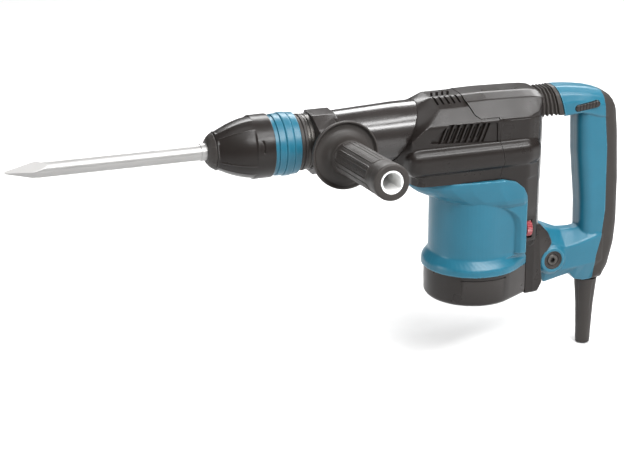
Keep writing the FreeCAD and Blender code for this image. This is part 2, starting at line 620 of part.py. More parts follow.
def crankshaft():
    """Journal, crank plate and the stub of the crank pin, one forging."""
    pieces = [
        rod("crank_journal", "crank_journal_radius", "crank_plate_top-1-crank_bottom",
            ("crank_x", "0", "crank_bottom"), "Z"),
        rod("crank_plate", "crank_plate_radius", "crank_plate_top-crank_plate_bottom",
            ("crank_x", "0", "crank_plate_bottom"), "Z"),
        rod("crank_stub", "crank_stub_radius", "crank_stub_top-crank_plate_top+1",
            ("crank_x-crank_radius", "0", "crank_plate_top-1"), "Z")]
    node(combined("crankshaft", pieces), "crankshaft")


def crank_gear():
    gear = doc.addObject("Part::Feature", "crank_gear")
    height = number("gear_top-gear_bottom")
    gear.Shape = involute_gear(int(number("gear_teeth")), height,
                               number("crank_journal_radius+0.02"))
    gear.Placement = Placement(Vector(number("crank_x"), 0, number("gear_bottom")), Rotation())
    node(gear, "crank_gear")


def armature_shaft():
    """The motor shaft with the driving pinion cut on its upper end."""
    pinion = doc.addObject("Part::Feature", "pinion_teeth_form")
    height = number("pinion_top-pinion_bottom")
    pinion.Shape = involute_gear(int(number("pinion_teeth")), height, 0)
    pinion.Placement = Placement(Vector(number("motor_x"), 0, number("pinion_bottom")),
                                 Rotation())
    pieces = [
        rod("shaft_main", "shaft_radius", "shaft_top-tail_step", ("motor_x", "0", "tail_step"),
            "Z"),
        rod("shaft_tail", "tail_radius", "tail_step-tail_end+1", ("motor_x", "0", "tail_end"),
            "Z"), pinion]
    node(combined("armature_shaft", pieces), "armature_shaft")


def on_shaft(label, radius, bottom, top):
    """A plain round piece pressed on the motor shaft."""
    turned_upright(label, [
        ("shaft_radius+0.02", bottom), (radius, bottom), (radius, top),
        ("shaft_radius+0.02", top)], "motor_x")


def wound_core():
    """The laminated core with the potted winding heads standing out at both ends."""
    bore = "shaft_radius+0.02"
    turned_upright("armature_core", [
        (bore, "core_bottom-coil_length"), ("coil_radius", "core_bottom-coil_length"),
        ("coil_radius", "core_bottom"), ("core_radius", "core_bottom"),
        ("core_radius", "core_top"), ("coil_radius", "core_top"),
        ("coil_radius", "core_top+coil_length"), (bore, "core_top+coil_length")], "motor_x")


def cooling_fan():
    """A back plate with straight blades round a hub."""
    pieces = [
        tube("fan_disc", "fan_radius", "shaft_radius+0.02", "fan_plate",
             ("motor_x", "0", "fan_top-fan_plate"), "Z"),
        tube("fan_hub", "fan_hub_radius", "shaft_radius+0.02", "fan_top-fan_bottom",
             ("motor_x", "0", "fan_bottom"), "Z")]
    count = SIZES["fan_blades"]
    for i in range(count):
        angle = 360.0 * i / count
        low = ("blade_inner", "-blade_thickness/2", "fan_bottom+3")
        high = ("fan_radius-0.5", "blade_thickness/2", "fan_top-1")
        blade = block("fan_blade", low, high)
        turn = Rotation(Vector(0, 0, 1), angle)
        spot = turn.multVec(Vector(number(low[0]), number(low[1]), 0))
        place(blade, "motor_x+%.6f" % spot.x, "%.6f" % spot.y, low[2], turn)
        pieces.append(blade)
    node(combined("cooling_fan", pieces), "cooling_fan")


def stator():
    turned_upright("stator_core", [
        ("stator_bore", "core_bottom"), ("stator_radius", "core_bottom"),
        ("stator_radius", "core_top"), ("stator_bore", "core_top")], "motor_x")
    pieces = []
    for name, start in (("top", "core_top+0.05"), ("low", "core_bottom-field_coil_length-0.05")):
        for side in ("field_coil_outer-10", "-field_coil_outer"):
            low = ("motor_x-field_coil_half", side, start)
            high = ("motor_x+field_coil_half", "%s+10" % side, "%s+field_coil_length" % start)
            pieces.append(block("field_coil_" + name, low, high))
    node(combined("field_coils", pieces), "field_coils")


def fan_baffle():
    turned_upright("fan_baffle", [
        ("baffle_bore", "baffle_bottom"), ("stator_radius", "baffle_bottom"),
        ("stator_radius", "baffle_top"), ("baffle_bore", "baffle_top")], "motor_x")


def brushes():
    """Two carbon brushes in brass box holders, facing the commutator from both sides."""
    carbons, holders = [], []
    for sign in (1, -1):
        near, far = ("brush_inner", "brush_outer") if sign > 0 else ("-brush_outer",
                                                                     "-brush_inner")
        low = ("motor_x-brush_half", near, "brush_z-brush_half")
        high = ("motor_x+brush_half", far, "brush_z+brush_half")
        carbons.append(block("carbon", low, high))
        near, far = ("holder_inner", "holder_outer") if sign > 0 else ("-holder_outer",
                                                                       "-holder_inner")
        outer = block("brush_box", ("motor_x-brush_half-holder_wall", near,
                                    "brush_z-brush_half-holder_wall"),
                      ("motor_x+brush_half+holder_wall", far,
                       "brush_z+brush_half+holder_wall"))
        inner = block("brush_way", ("motor_x-brush_half-0.1", "(%s)-1" % near,
                                    "brush_z-brush_half-0.1"),
                      ("motor_x+brush_half+0.1", "(%s)+1" % far, "brush_z+brush_half+0.1"))
        holders.append(difference("brush_holder", outer, inner))
    node(combined("carbon_brushes", carbons), "carbon_brushes")
    node(combined("brush_holders", holders), "brush_holders")


def bearings():
    crank = ball_bearing("crank_bearing", "crank_x", "crank_bearing_bottom",
                         "crank_bearing_top", "crank_bearing_radius",
                         "crank_journal_radius+0.02")
    node(combined("crank_bearing", crank), "crank_bearing")
    motor = ball_bearing("upper_bearing", "motor_x", "motor_bearing_bottom",
                         "motor_bearing_top", "motor_bearing_radius", "shaft_radius+0.02")
    motor += ball_bearing("lower_bearing", "motor_x", "tail_bearing_bottom",
                          "tail_bearing_top", "tail_bearing_radius", "tail_radius+0.02")
    node(combined("motor_bearings", motor), "motor_bearings")


def gear_housing():
    """The cast plate under the crank, with the seats of both upper bearings."""
    body = new_body("gear_housing")
    outline = [("plate_front", "-plate_front_half"), ("plate_side_x", "-plate_half"),
               ("plate_rear", "-plate_half"), ("plate_rear", "plate_half"),
               ("plate_side_x", "plate_half"), ("plate_front", "plate_front_half")]
    pad(body, "XY_Plane", [outline], "plate_bottom", "plate_top")
    seats = (("crank_x", "crank_bearing_radius", "crank_bearing_bottom"),
             ("motor_x", "motor_bearing_radius", "motor_bearing_bottom"))
    for x, radius, bottom in seats:
        pocket(body, "XY_Plane", [circle(x, "0", "%s+0.02" % radius)], "%s-0.02" % bottom,
               "plate_top+1")
        pocket(body, "XY_Plane", [circle(x, "0", "%s-bearing_lip" % radius)], "plate_bottom-1",
               "plate_top+1")


# ---------------------------------------------------------------- housings
def housing_section(inset="0"):
    """The main housing's cross-section at full size, drawn in by an inset."""
    i = inset
    return mirrored([
        ("belly_half-%s" % i, "belly_z"), ("bulge_half-%s" % i, "bulge_low"),
        ("bulge_half-%s" % i, "bulge_top"), ("shoulder_half-%s" % i, "waist_z"),
        ("shoulder_half-%s" % i, "seam_z+1"), ("crease_half-%s*0.7" % i, "crease_z-%s*0.7" % i),
        ("crest_half-%s*0.4" % i, "top_z-%s" % i)])


def main_housing():
    """The casing over the crank: a lofted nose, a straight run and a sleeve over the barrel."""
    body = new_body("main_housing")
    full = housing_section()
    small = scaled(full, "nose_shrink")
    loft(body, [("nose_x", small), ("full_x", full)])
    pad(body, "YZ_Plane", [full], "full_x-0.01", "seam_x")
    pad(body, "YZ_Plane", [circle("0", "0", "sleeve_outer")], "sleeve_start", "nose_x+6")
    inner = housing_section("wall")
    body.newObject("PartDesign::SubtractiveLoft", "main_housingCavity")
    cavity = body.Tip
    sketches = [draw(body, "YZ_Plane", [scaled(inner, "nose_shrink*1.06")], "nose_x+wall"),
                draw(body, "YZ_Plane", [inner], "full_x")]
    cavity.Profile, cavity.Sections, cavity.Ruled = sketches[0], sketches[1:], True
    pocket(body, "YZ_Plane", [inner], "full_x-0.01", "seam_x+1")
    pocket(body, "YZ_Plane", [circle("0", "0", "barrel_radius+fit_gap")], "sleeve_start-1",
           "nose_x+wall+1")
    corner = [("top_front-0.3", "seam_z"), ("seam_x+1", "seam_z"), ("seam_x+1", "top_z+1"),
              ("top_front-0.3", "top_z+1")]
    pocket(body, "XZ_Plane", [corner], "-bulge_half-5", "bulge_half+5")
    oblique = [("sleeve_start-1", "sleeve_outer+1"), ("sleeve_start-1", "-sleeve_outer"),
               ("sleeve_start+1", "-sleeve_outer"), ("nose_x+2", "sleeve_outer+1")]
    pocket(body, "XZ_Plane", [oblique], "-sleeve_outer-1", "sleeve_outer+1")
    side_vents(body)
    top_vents(body)


def side_vents(body):
    """Leaning air slots through both side walls."""
    slots = []
    for i in range(SIZES["slot_count"]):
        x = "slot_start+slot_pitch*%d" % i
        slots.append([(x, "slot_low"), ("%s+slot_width" % x, "slot_low"),
                      ("%s+slot_width+slot_lean" % x, "slot_high"),
                      ("%s+slot_lean" % x, "slot_high")])
    pocket(body, "XZ_Plane", slots, "-shoulder_half-2", "shoulder_half+2")


def top_vents(body):
    """Two rows of short slots in the flat top, one each side of the centre line."""
    slots = []
    for i in range(SIZES["top_slot_count"]):
        x = "top_slot_start+top_slot_pitch*%d" % i
        for near, far in (("top_slot_near", "top_slot_far"), ("-top_slot_far", "-top_slot_near")):
            slots.append([(x, near), ("%s+top_slot_width" % x, near),
                          ("%s+top_slot_width" % x, far), (x, far)])
    pocket(body, "XY_Plane", slots, "top_z-wall-2", "top_z+1")


def top_section(inset="0", low="seam_z+0.3"):
    i = inset
    return mirrored([
        ("shoulder_half-%s" % i, low), ("shoulder_half-%s" % i, "seam_z+1"),
        ("crease_half-%s*0.7" % i, "crease_z-%s*0.7" % i),
        ("crest_half-%s*0.4" % i, "top_z-%s" % i)])


def top_cover():
    """The rear part of the roof: a channel that tapers to the bellows flange."""
    body = new_body("top_cover")
    full = top_section()
    end = [("(%s)*top_shrink" % y, z) for y, z in full]
    pad(body, "YZ_Plane", [full], "top_front", "top_taper_x")
    loft(body, [("top_taper_x-0.01", full), ("rear_x", end)])
    inner = top_section("wall", "seam_z-1")
    inner_end = [("(%s)*top_shrink" % y, z) for y, z in inner]
    pocket(body, "YZ_Plane", [inner], "top_front-1", "top_taper_x")
    feature = body.newObject("PartDesign::SubtractiveLoft", "top_coverCavity")
    feature.Profile = draw(body, "YZ_Plane", [inner], "top_taper_x-0.01")
    feature.Sections = [draw(body, "YZ_Plane", [inner_end], "rear_x-wall")]
    feature.Ruled = True


def rear_section(inset="0", top="seam_z"):
    """The housing's cross-section below the seam of the top cover."""
    i = inset
    return mirrored([
        ("belly_half-%s" % i, "belly_z+%s" % i), ("bulge_half-%s" % i, "bulge_low"),
        ("bulge_half-%s" % i, "bulge_top"), ("shoulder_half-%s" % i, "waist_z"),
        ("shoulder_half-%s" % i, top)])


def rear_corners():
    """The two wedges cut off the back corners, seen from above."""
    corner = [("rear_side_x", "bulge_half"), ("rear_corner_x", "rear_corner_half"),
              ("rear_x", "rear_end_half"), ("rear_x+2", "rear_end_half"),
              ("rear_x+2", "bulge_half+2"), ("rear_side_x", "bulge_half+2")]
    return [corner, [(x, "-(%s)" % y) for x, y in corner]]


def column_plan(corner_half, end_x, end_half, side_half, inset="0"):
    i = inset
    half = [("column_x", "%s-%s" % (side_half, i)),
            ("column_mid_x-%s*0.3" % i, "%s-%s" % (corner_half, i)),
            ("%s-%s" % (end_x, i), "%s-%s*0.6" % (end_half, i))]
    return half + [(x, "-(%s)" % y) for x, y in reversed(half)]


def rear_cover():
    """The rear shell: a deep back, a column down to the foot, and the lug of the handle pivot."""
    body = new_body("rear_cover")
    pad(body, "YZ_Plane", [rear_section()], "seam_x+0.3", "rear_x")
    pocket(body, "XY_Plane", rear_corners(), "belly_z-1", "seam_z+1")
    column = ("column_mid_half", "rear_x", "column_end_half", "column_half")
    foot = ("foot_mid_half", "foot_end_x", "foot_end_half", "foot_half")
    pad(body, "XY_Plane", [column_plan(*column)], "column_low_z-0.01", "belly_z+0.01")
    pad(body, "XY_Plane", [column_plan(*foot)], "foot_z", "column_low_z")
    lug = [("foot_end_x-6", "pivot_z-lug_radius"), ("pivot_x", "pivot_z-lug_radius"),
           ("pivot_x", "pivot_z+lug_radius"), ("foot_end_x-6", "pivot_z+lug_radius")]
    pad(body, "XZ_Plane", [lug], "-lug_half", "lug_half")
    pad(body, "XZ_Plane", [circle("pivot_x", "pivot_z", "lug_radius")], "-lug_half", "lug_half")
    pocket(body, "YZ_Plane", [rear_section("wall", "seam_z+1")], "seam_x-1", "rear_side_x")
    deep = [("rear_side_x-1", "rear_corner_half-wall"), ("rear_x-wall", "rear_end_half-wall"),
            ("rear_x-wall", "-rear_end_half+wall"), ("rear_side_x-1", "-rear_corner_half+wall")]
    pocket(body, "XY_Plane", [deep], "belly_z+wall", "seam_z+1")
    way = column_plan(*column, inset="wall")
    way[0], way[-1] = ("column_x-1", way[0][1]), ("column_x-1", way[-1][1])
    pocket(body, "XY_Plane", [way], "column_low_z+wall", "belly_z+wall+1")
    low_way = column_plan(*foot, inset="wall")
    low_way[0], low_way[-1] = ("column_x-1", low_way[0][1]), ("column_x-1", low_way[-1][1])
    pocket(body, "XY_Plane", [low_way], "foot_z+wall", "column_low_z+wall+1")
    bore = circle("pivot_x", "pivot_z", "pivot_pin_radius+0.02")
    pocket(body, "XZ_Plane", [bore], "-lug_half-1", "lug_half+1")
    dial_slot = [("dial_x-dial_width/2-dial_slot_gap", "dial_z-dial_slot_half"),
                 ("dial_x+dial_width/2+dial_slot_gap", "dial_z-dial_slot_half"),
                 ("dial_x+dial_width/2+dial_slot_gap", "dial_z+dial_slot_half"),
                 ("dial_x-dial_width/2-dial_slot_gap", "dial_z+dial_slot_half")]
    pocket(body, "XZ_Plane", [dial_slot], "-column_half-2", "-column_mid_half+8")


def speed_dial():
    """The thumbwheel, turning about an axis along X."""
    body = new_body("speed_dial")
    wheel = [("-dial_width/2", "0"), ("-dial_width/2", "dial_radius"),
             ("dial_width/2", "dial_radius"), ("dial_width/2", "0")]
    revolve(body, wheel, "H_Axis")
    place(body, "dial_x", "dial_axis_y", "dial_z")


def speed_controller():
    low = ("board_x", "-board_half", "board_bottom")
    high = ("board_x+board_thick", "board_half", "board_top")
    node(block("speed_controller", low, high), "speed_controller")


def motor_housing():
    """The blue casing round the motor, with a shelf under the crank casing and a flared skirt."""
    body = new_body("motor_housing")
    revolve(body, [
        ("0", "skirt_bottom"), ("skirt_radius", "skirt_bottom"), ("skirt_radius", "skirt_bottom+4"),
        ("motor_radius", "skirt_top"), ("motor_radius", "shelf_top"), ("0", "shelf_top")],
        "V_Axis")
    shelf_half = [("shelf_nose_x-motor_x", "0"), ("shelf_nose_x+4-motor_x", "shelf_nose_half"),
                  ("shelf_side_x-motor_x", "shelf_side_half"),
                  ("shelf_wide_x-motor_x", "shelf_half"), ("blue_rear_x-motor_x", "shelf_half")]
    shelf = shelf_half + [(x, "-(%s)" % y) for x, y in reversed(shelf_half[1:])]
    pad(body, "XY_Plane", [shelf], "shelf_bottom", "shelf_top")
    inner_half = [("shelf_nose_x+wall*1.4-motor_x", "0"),
                  ("shelf_nose_x+wall*1.8+3-motor_x", "shelf_nose_half-wall"),
                  ("shelf_side_x+1-motor_x", "shelf_side_half-wall"),
                  ("shelf_wide_x-motor_x", "shelf_half-wall"),
                  ("blue_rear_x+5-motor_x", "shelf_half-wall")]
    inner = inner_half + [(x, "-(%s)" % y) for x, y in reversed(inner_half[1:])]
    pocket(body, "XY_Plane", [inner], "shelf_bottom+wall", "shelf_top+1")
    pocket(body, "XY_Plane", [circle("0", "0", "motor_bore")], "skirt_bottom-1", "shelf_top+1")
    behind = [("blue_rear_x-motor_x", "-skirt_radius-5"), ("skirt_radius+9", "-skirt_radius-5"),
              ("skirt_radius+9", "skirt_radius+5"), ("blue_rear_x-motor_x", "skirt_radius+5")]
    pocket(body, "XY_Plane", [behind], "skirt_bottom-1", "shelf_top+1")
    place(body, "motor_x")


def base_cover():
    """The black foot: a round front that tapers back, a floor and the lower bearing's boss."""
    body = new_body("base_cover")
    rear, tangent_x = "blue_rear_x-motor_x", "0"
    wedge = [(tangent_x, "-base_radius"), (rear, "-base_rear_half"), (rear, "base_rear_half"),
             (tangent_x, "base_radius")]
    pad(body, "XY_Plane", [circle("0", "0", "base_radius")], "foot_z", "base_top")
    pad(body, "XY_Plane", [wedge], "foot_z", "base_top")
    behind = [(rear, "-base_radius"), ("base_radius+5", "-base_radius"),
              ("base_radius+5", "base_radius"), (rear, "base_radius")]
    pocket(body, "XY_Plane", [behind], "foot_z-1", "base_top+1")
    hollow = circle("0", "0", "base_radius-wall")
    pocket(body, "XY_Plane", [hollow], "foot_z+base_floor", "base_top+1")
    inner = [(tangent_x, "-base_radius+wall+1"), (rear + "-wall", "-base_rear_half+wall"),
             (rear + "-wall", "base_rear_half-wall"), (tangent_x, "base_radius-wall-1")]
    pocket(body, "XY_Plane", [inner], "foot_z+base_floor", "base_top+1")
    back_wall = [(rear + "-wall", "-base_rear_half"), (rear, "-base_rear_half"),
                 (rear, "base_rear_half"), (rear + "-wall", "base_rear_half")]
    pad(body, "XY_Plane", [back_wall], "foot_z", "base_top")
    pad(body, "XY_Plane", [circle("0", "0", "boss_radius")], "foot_z+1", "tail_bearing_top")
    pocket(body, "XY_Plane", [circle("0", "0", "tail_bearing_radius+0.02")],
           "tail_bearing_bottom-0.02", "tail_bearing_top+1")
    pocket(body, "XY_Plane", [circle("0", "0", "tail_radius+2")], "tail_end-1.5",
           "tail_bearing_top")
    shanks, heads = [], []
    for x, y in base_screw_spots():
        shanks.append(circle(x, y, "base_screw_radius+0.2"))
        heads.append(circle(x, y, "screw_head_radius+0.3"))
    pocket(body, "XY_Plane", shanks, "foot_z-1", "foot_z+base_floor+1")
    pocket(body, "XY_Plane", heads, "foot_z-1", "foot_z+screw_head_height")
    place(body, "motor_x")


def base_screw_spots():
    """Screw centres on a circle about the motor axis."""
    spots = []
    for i in range(SIZES["base_screw_count"]):
        angle = math.radians(SIZES["base_screw_turn"] + 360.0 * i / SIZES["base_screw_count"])
        spots.append(("base_screw_ring*%.6f" % math.cos(angle),
                      "base_screw_ring*%.6f" % math.sin(angle)))
    return spots


def base_screws():
    pieces = []
    for x, y in base_screw_spots():
        head = rod("screw_head", "screw_head_radius", "screw_head_height",
                   ("motor_x+" + x, y, "foot_z"), "Z")
        shank = rod("screw_shank", "base_screw_radius", "base_screw_top-foot_z",
                    ("motor_x+" + x, y, "foot_z"), "Z")
        pieces.append(combined("base_screw", [head, shank]))
    node(combined("base_screws", pieces), "base_screws")


# ---------------------------------------------------------------- side grip
def saddle():
    """The plastic block of the side grip that bears on the barrel."""
    body = new_body("grip_saddle")
    outline = [("saddle_crest", "saddle_top"), ("-saddle_crest", "saddle_top"),
               ("-saddle_knee_y", "saddle_knee_z"), ("-saddle_out", "saddle_out_z+4"),
               ("-saddle_out", "-saddle_out_z+4"), ("-saddle_knee_y", "-saddle_knee_z"),
               ("-saddle_crest", "-saddle_top"), ("saddle_crest", "-saddle_top")]
    pad(body, "YZ_Plane", [outline], "saddle_front", "saddle_rear")
    pocket(body, "YZ_Plane", [circle("0", "0", "barrel_radius+fit_gap")], "saddle_front-1",
           "saddle_rear+1")
    hole_z = "tan(grip_roll)*saddle_out"
    hole = circle("grip_x", "(%s)*0.8" % hole_z, "saddle_hole+1.5")
    pocket(body, "XZ_Plane", [hole], "-saddle_out-1", "-barrel_radius+5")


def clamp_band():
    """The steel band that pulls the saddle on to the barrel."""
    body = new_body("clamp_band")
    inner, outer = "barrel_radius+fit_gap", "barrel_radius+fit_gap+band_thick"
    pad(body, "YZ_Plane", [circle("0", "0", outer), circle("0", "0", inner)], "band_front",
        "band_rear")
    away = [("-(%s)-2" % outer, "-(%s)-2" % outer), ("band_start", "-(%s)-2" % outer),
            ("band_start", "%s+2" % outer), ("-(%s)-2" % outer, "%s+2" % outer)]
    pocket(body, "YZ_Plane", [away], "band_front-1", "band_rear+1")


def along_grip():
    """The rotation that lays local Z along the side grip's axis."""
    roll = math.radians(number("grip_roll"))
    return Rotation(Vector(0, 0, 1), Vector(0, -math.cos(roll), math.sin(roll)))


def on_grip_axis(label, profile):
    """A turned piece on the side grip's axis; the profile is (radius, distance out)."""
    body = new_body(label)
    revolve(body, profile, "V_Axis")
    return place(body, "grip_x", turn=along_grip())


def side_grip():
    on_grip_axis("clamp_stud", [
        ("0", "stud_start"), ("stud_radius", "stud_start"), ("stud_radius", "stud_end"),
        ("0", "stud_end")])
    on_grip_axis("grip_flange", [
        ("sleeve_bore", "flange_start"), ("flange_hub_radius", "flange_start"),
        ("flange_hub_radius+2", "flange_waist"), ("flange_radius-1", "flange_rim_start"),
        ("flange_radius", "flange_rim_start+2"), ("flange_radius", "flange_rim_end"),
        ("flange_radius-2", "flange_rim_end"), ("flange_hub_radius+2", "flange_hub_end"),
        ("sleeve_bore", "flange_hub_end")])
    on_grip_axis("grip_sleeve", [
        ("sleeve_bore", "flange_hub_end+part_gap"),
        ("grip_radius+0.8", "flange_hub_end+part_gap"), ("grip_radius", "flange_rim_end+18"),
        ("grip_radius", "grip_bead_start-2"), ("grip_bead_radius", "grip_bead_start"),
        ("grip_bead_radius", "grip_end"), ("sleeve_bore", "grip_end")])
    on_grip_axis("grip_liner", [
        ("liner_bore", "flange_start"), ("sleeve_bore-fit_gap", "flange_start"),
        ("sleeve_bore-fit_gap", "grip_end"), ("liner_bore", "grip_end"),
        ("liner_bore", "liner_floor"), ("0", "liner_floor"), ("0", "liner_floor-liner_web"),
        ("liner_bore", "liner_floor-liner_web")])


# ---------------------------------------------------------------- rear handle
def split_line():
    """The boundary between the hard shells and the soft back, top to bottom."""
    return [("split_top_x", "split_top_z"), ("split_mid_x", "split_mid_z"),
            ("split_low_x", "split_low_z"), ("split_end_x", "handle_bottom")]


def shell_outline():
    return [("handle_front", "limb_low"), ("handle_front", "limb_top"),
            ("limb_mid_x", "limb_top"), ("limb_back_x", "limb_back_z")] + split_line() + [
            ("heel_x", "heel_z"), ("heel_x-4", "arm_low"), ("arm_low_x", "arm_low"),
            ("arm_front", "arm_low+12"), ("arm_front", "arm_top_front"),
            ("arm_top_x", "arm_top"), ("grip_low_x-4", "arm_top+3"),
            ("grip_low_x", "grip_low_z"), ("grip_top_x", "grip_top_z"),
            ("grip_top_x-4", "limb_low")]


def side_range(side, near, far):
    """A stretch of Y on the left (-1) or right (+1) side, low end first."""
    if side > 0:
        return near, far
    return "-(%s)" % far, "-(%s)" % near


def handle_shell(label, side):
    """One half of the rear handle, hollow, with its pivot cheek."""
    body = new_body(label)
    pad(body, "XZ_Plane", [shell_outline()], *side_range(side, "seam_gap", "handle_half"))
    limb = [("handle_front", "limb_low"), ("handle_front", "limb_top"),
            ("limb_mid_x", "limb_top"), ("limb_back_x", "limb_back_z"),
            ("limb_back_x", "limb_low-8"), ("grip_top_x+1", "grip_top_z"),
            ("grip_top_x-3", "limb_low")]
    pad(body, "XZ_Plane", [limb], *side_range(side, "handle_half-1", "limb_half"))
    arm = [("arm_front", "arm_top_front"), ("arm_top_x", "arm_top"), ("grip_low_x-4", "arm_top"),
           ("split_end_x-3", "heel_z+25"), ("split_end_x-6", "heel_z"),
           ("heel_x", "heel_z"), ("heel_x-4", "arm_low"), ("arm_low_x", "arm_low"),
           ("arm_front", "arm_low+12")]
    pad(body, "XZ_Plane", [arm], *side_range(side, "handle_half-1", "arm_half"))
    cheek = [("arm_front", "pivot_z-14"), ("arm_front", "pivot_z+14"),
             ("pivot_x+4", "pivot_z+16"), ("pivot_x+16", "pivot_z+4"),
             ("pivot_x+16", "pivot_z-4"), ("pivot_x+4", "pivot_z-16")]
    pad(body, "XZ_Plane", [cheek], *side_range(side, "arm_half-1", "cheek_half"))
    gap = [("arm_front-1", "arm_low-1"), ("cheek_back", "arm_low-1"),
           ("cheek_back", "arm_top_front+2"), ("arm_front-1", "arm_top_front+2")]
    pocket(body, "XZ_Plane", [gap], *side_range(side, "0", "cheek_gap"))
    pocket(body, "XZ_Plane", [circle("pivot_x", "pivot_z", "bush_radius+fit_gap")],
           *side_range(side, "cheek_gap-1", "cheek_half+1"))
    hollow = [("handle_front+handle_wall", "limb_low+handle_wall"),
              ("handle_front+handle_wall", "limb_top-handle_wall"),
              ("limb_mid_x", "limb_top-handle_wall"),
              ("limb_back_x-2", "limb_back_z-handle_wall"),
              ("split_top_x-1.5", "split_top_z-10"), ("split_mid_x-2", "split_mid_z"),
              ("split_low_x-2", "split_low_z"), ("split_end_x+3", "heel_z+15"),
              ("split_end_x-1", "handle_bottom+handle_wall*2"),
              ("heel_x+5", "heel_z+handle_wall"), ("cheek_back+5", "arm_low+6"),
              ("cheek_back+5", "arm_top-6"), ("grip_low_x+2", "arm_top-3"),
              ("grip_low_x+handle_wall", "grip_low_z"),
              ("grip_top_x+handle_wall", "grip_top_z+1"),
              ("grip_top_x", "limb_low+handle_wall")]
    pocket(body, "XZ_Plane", [hollow],
           *side_range(side, "0", "handle_half-handle_wall"))
    window = [("lever_front-lever_gap", "lever_low-lever_gap"),
              ("lever_rear+lever_gap", "lever_low-lever_gap"),
              ("lever_rear+lever_gap", "lever_high+lever_gap"),
              ("lever_front-lever_gap", "lever_high+lever_gap")]
    pocket(body, "XZ_Plane", [window],
           *side_range(side, "handle_half-handle_wall-1", "limb_half+1"))
    pocket(body, "XY_Plane", [circle("guard_x", "0", "guard_neck_radius+0.3")],
           "handle_bottom-1", "heel_z+handle_wall+3")
    if side > 0:
        shanks = [circle(x, z, "screw_radius+0.2") for x, z in handle_screw_spots()]
        heads = [circle(x, z, "screw_head_radius+0.3") for x, z in handle_screw_spots()]
        pocket(body, "XZ_Plane", shanks, "handle_half-handle_wall-1", "cheek_half+1")
        pocket(body, "XZ_Plane", heads, "handle_half-1.5", "cheek_half+1")


def handle_screw_spots():
    return [("handle_front+8", "limb_top-9"), ("split_mid_x-10", "split_mid_z"),
            ("split_low_x-10", "split_low_z-40")]


def handle_screws():
    pieces = []
    for x, z in handle_screw_spots():
        shank = rod("handle_screw_shank", "screw_radius", "handle_half*2-handle_wall-6",
                    (x, "-handle_half+handle_wall+5", z), "Y")
        head = rod("handle_screw_head", "screw_head_radius", "screw_head_height",
                   (x, "handle_half-1.5+0.02", z), "Y")
        pieces.append(combined("handle_screw", [shank, head]))
    node(combined("handle_screws", pieces), "handle_screws")


def handle_pad():
    """The soft back of the handle."""
    body = new_body("handle_pad")
    front = [("%s+pad_gap" % x, z) for x, z in split_line()]
    outline = front[::-1] + [
        ("pad_rear_top_x", "pad_rear_top_z"), ("pad_corner_x", "pad_corner_z"),
        ("pad_back_x", "pad_back_z"), ("pad_heel_x", "pad_heel_z"),
        ("pad_end_x", "handle_bottom")]
    pad(body, "XZ_Plane", [outline], "-pad_half", "pad_half")
    pocket(body, "XY_Plane", [circle("guard_x", "0", "guard_neck_radius+0.3")],
           "handle_bottom-1", "guard_neck_top+1")


def pivot_bushings():
    pieces = []
    for side in (1, -1):
        start = side_range(side, "cheek_gap+0.1", "cheek_half-0.5")[0]
        pieces.append(tube("bush", "bush_radius", "pivot_pin_radius+fit_gap",
                           "cheek_half-cheek_gap-0.6", ("pivot_x", start, "pivot_z"), "Y"))
    node(combined("pivot_bushings", pieces), "pivot_bushings")


def pivot_pin():
    """The pivot bolt with a flat round head at each end, outside the bushings."""
    pieces = [rod("pin_bar", "pivot_pin_radius", "cheek_half*2",
                  ("pivot_x", "-cheek_half", "pivot_z"), "Y")]
    for start in ("-cheek_half-pin_head_height+0.4", "cheek_half-0.4"):
        pieces.append(rod("pin_head", "pin_head_radius", "pin_head_height",
                          ("pivot_x", start, "pivot_z"), "Y"))
    node(combined("pivot_pin", pieces), "pivot_pin")


def switch_lever():
    low = ("lever_front", "-lever_out", "lever_low")
    high = ("lever_rear", "lever_in", "lever_high")
    node(block("switch_lever", low, high), "switch_lever")


def switch_body():
    low = ("switch_front", "-switch_half", "switch_low")
    high = ("switch_rear", "switch_half", "switch_high")
    node(block("switch_body", low, high), "switch_body")


def bellows():
    """The rubber boot between the top cover and the handle, an arch in cross-section."""
    body = new_body("bellows")
    arch = mirrored([("bellows_half", "bellows_low"), ("bellows_half", "bellows_shoulder_z"),
                     ("bellows_crest_half", "bellows_top")])
    inner = mirrored([("bellows_half-bellows_wall", "bellows_low+bellows_wall"),
                      ("bellows_half-bellows_wall", "bellows_shoulder_z-1"),
                      ("bellows_crest_half-1", "bellows_top-bellows_wall")])
    pad(body, "YZ_Plane", [arch, inner], "bellows_front", "bellows_rear")


def cord_guard():
    turned_upright("cord_guard", [
        ("guard_bore", "guard_end"), ("guard_end_radius", "guard_end"),
        ("guard_knee_radius", "guard_knee"), ("guard_top_radius", "guard_top"),
        ("guard_neck_radius", "guard_top"), ("guard_neck_radius", "guard_neck_top"),
        ("guard_bore", "guard_neck_top")], "guard_x")


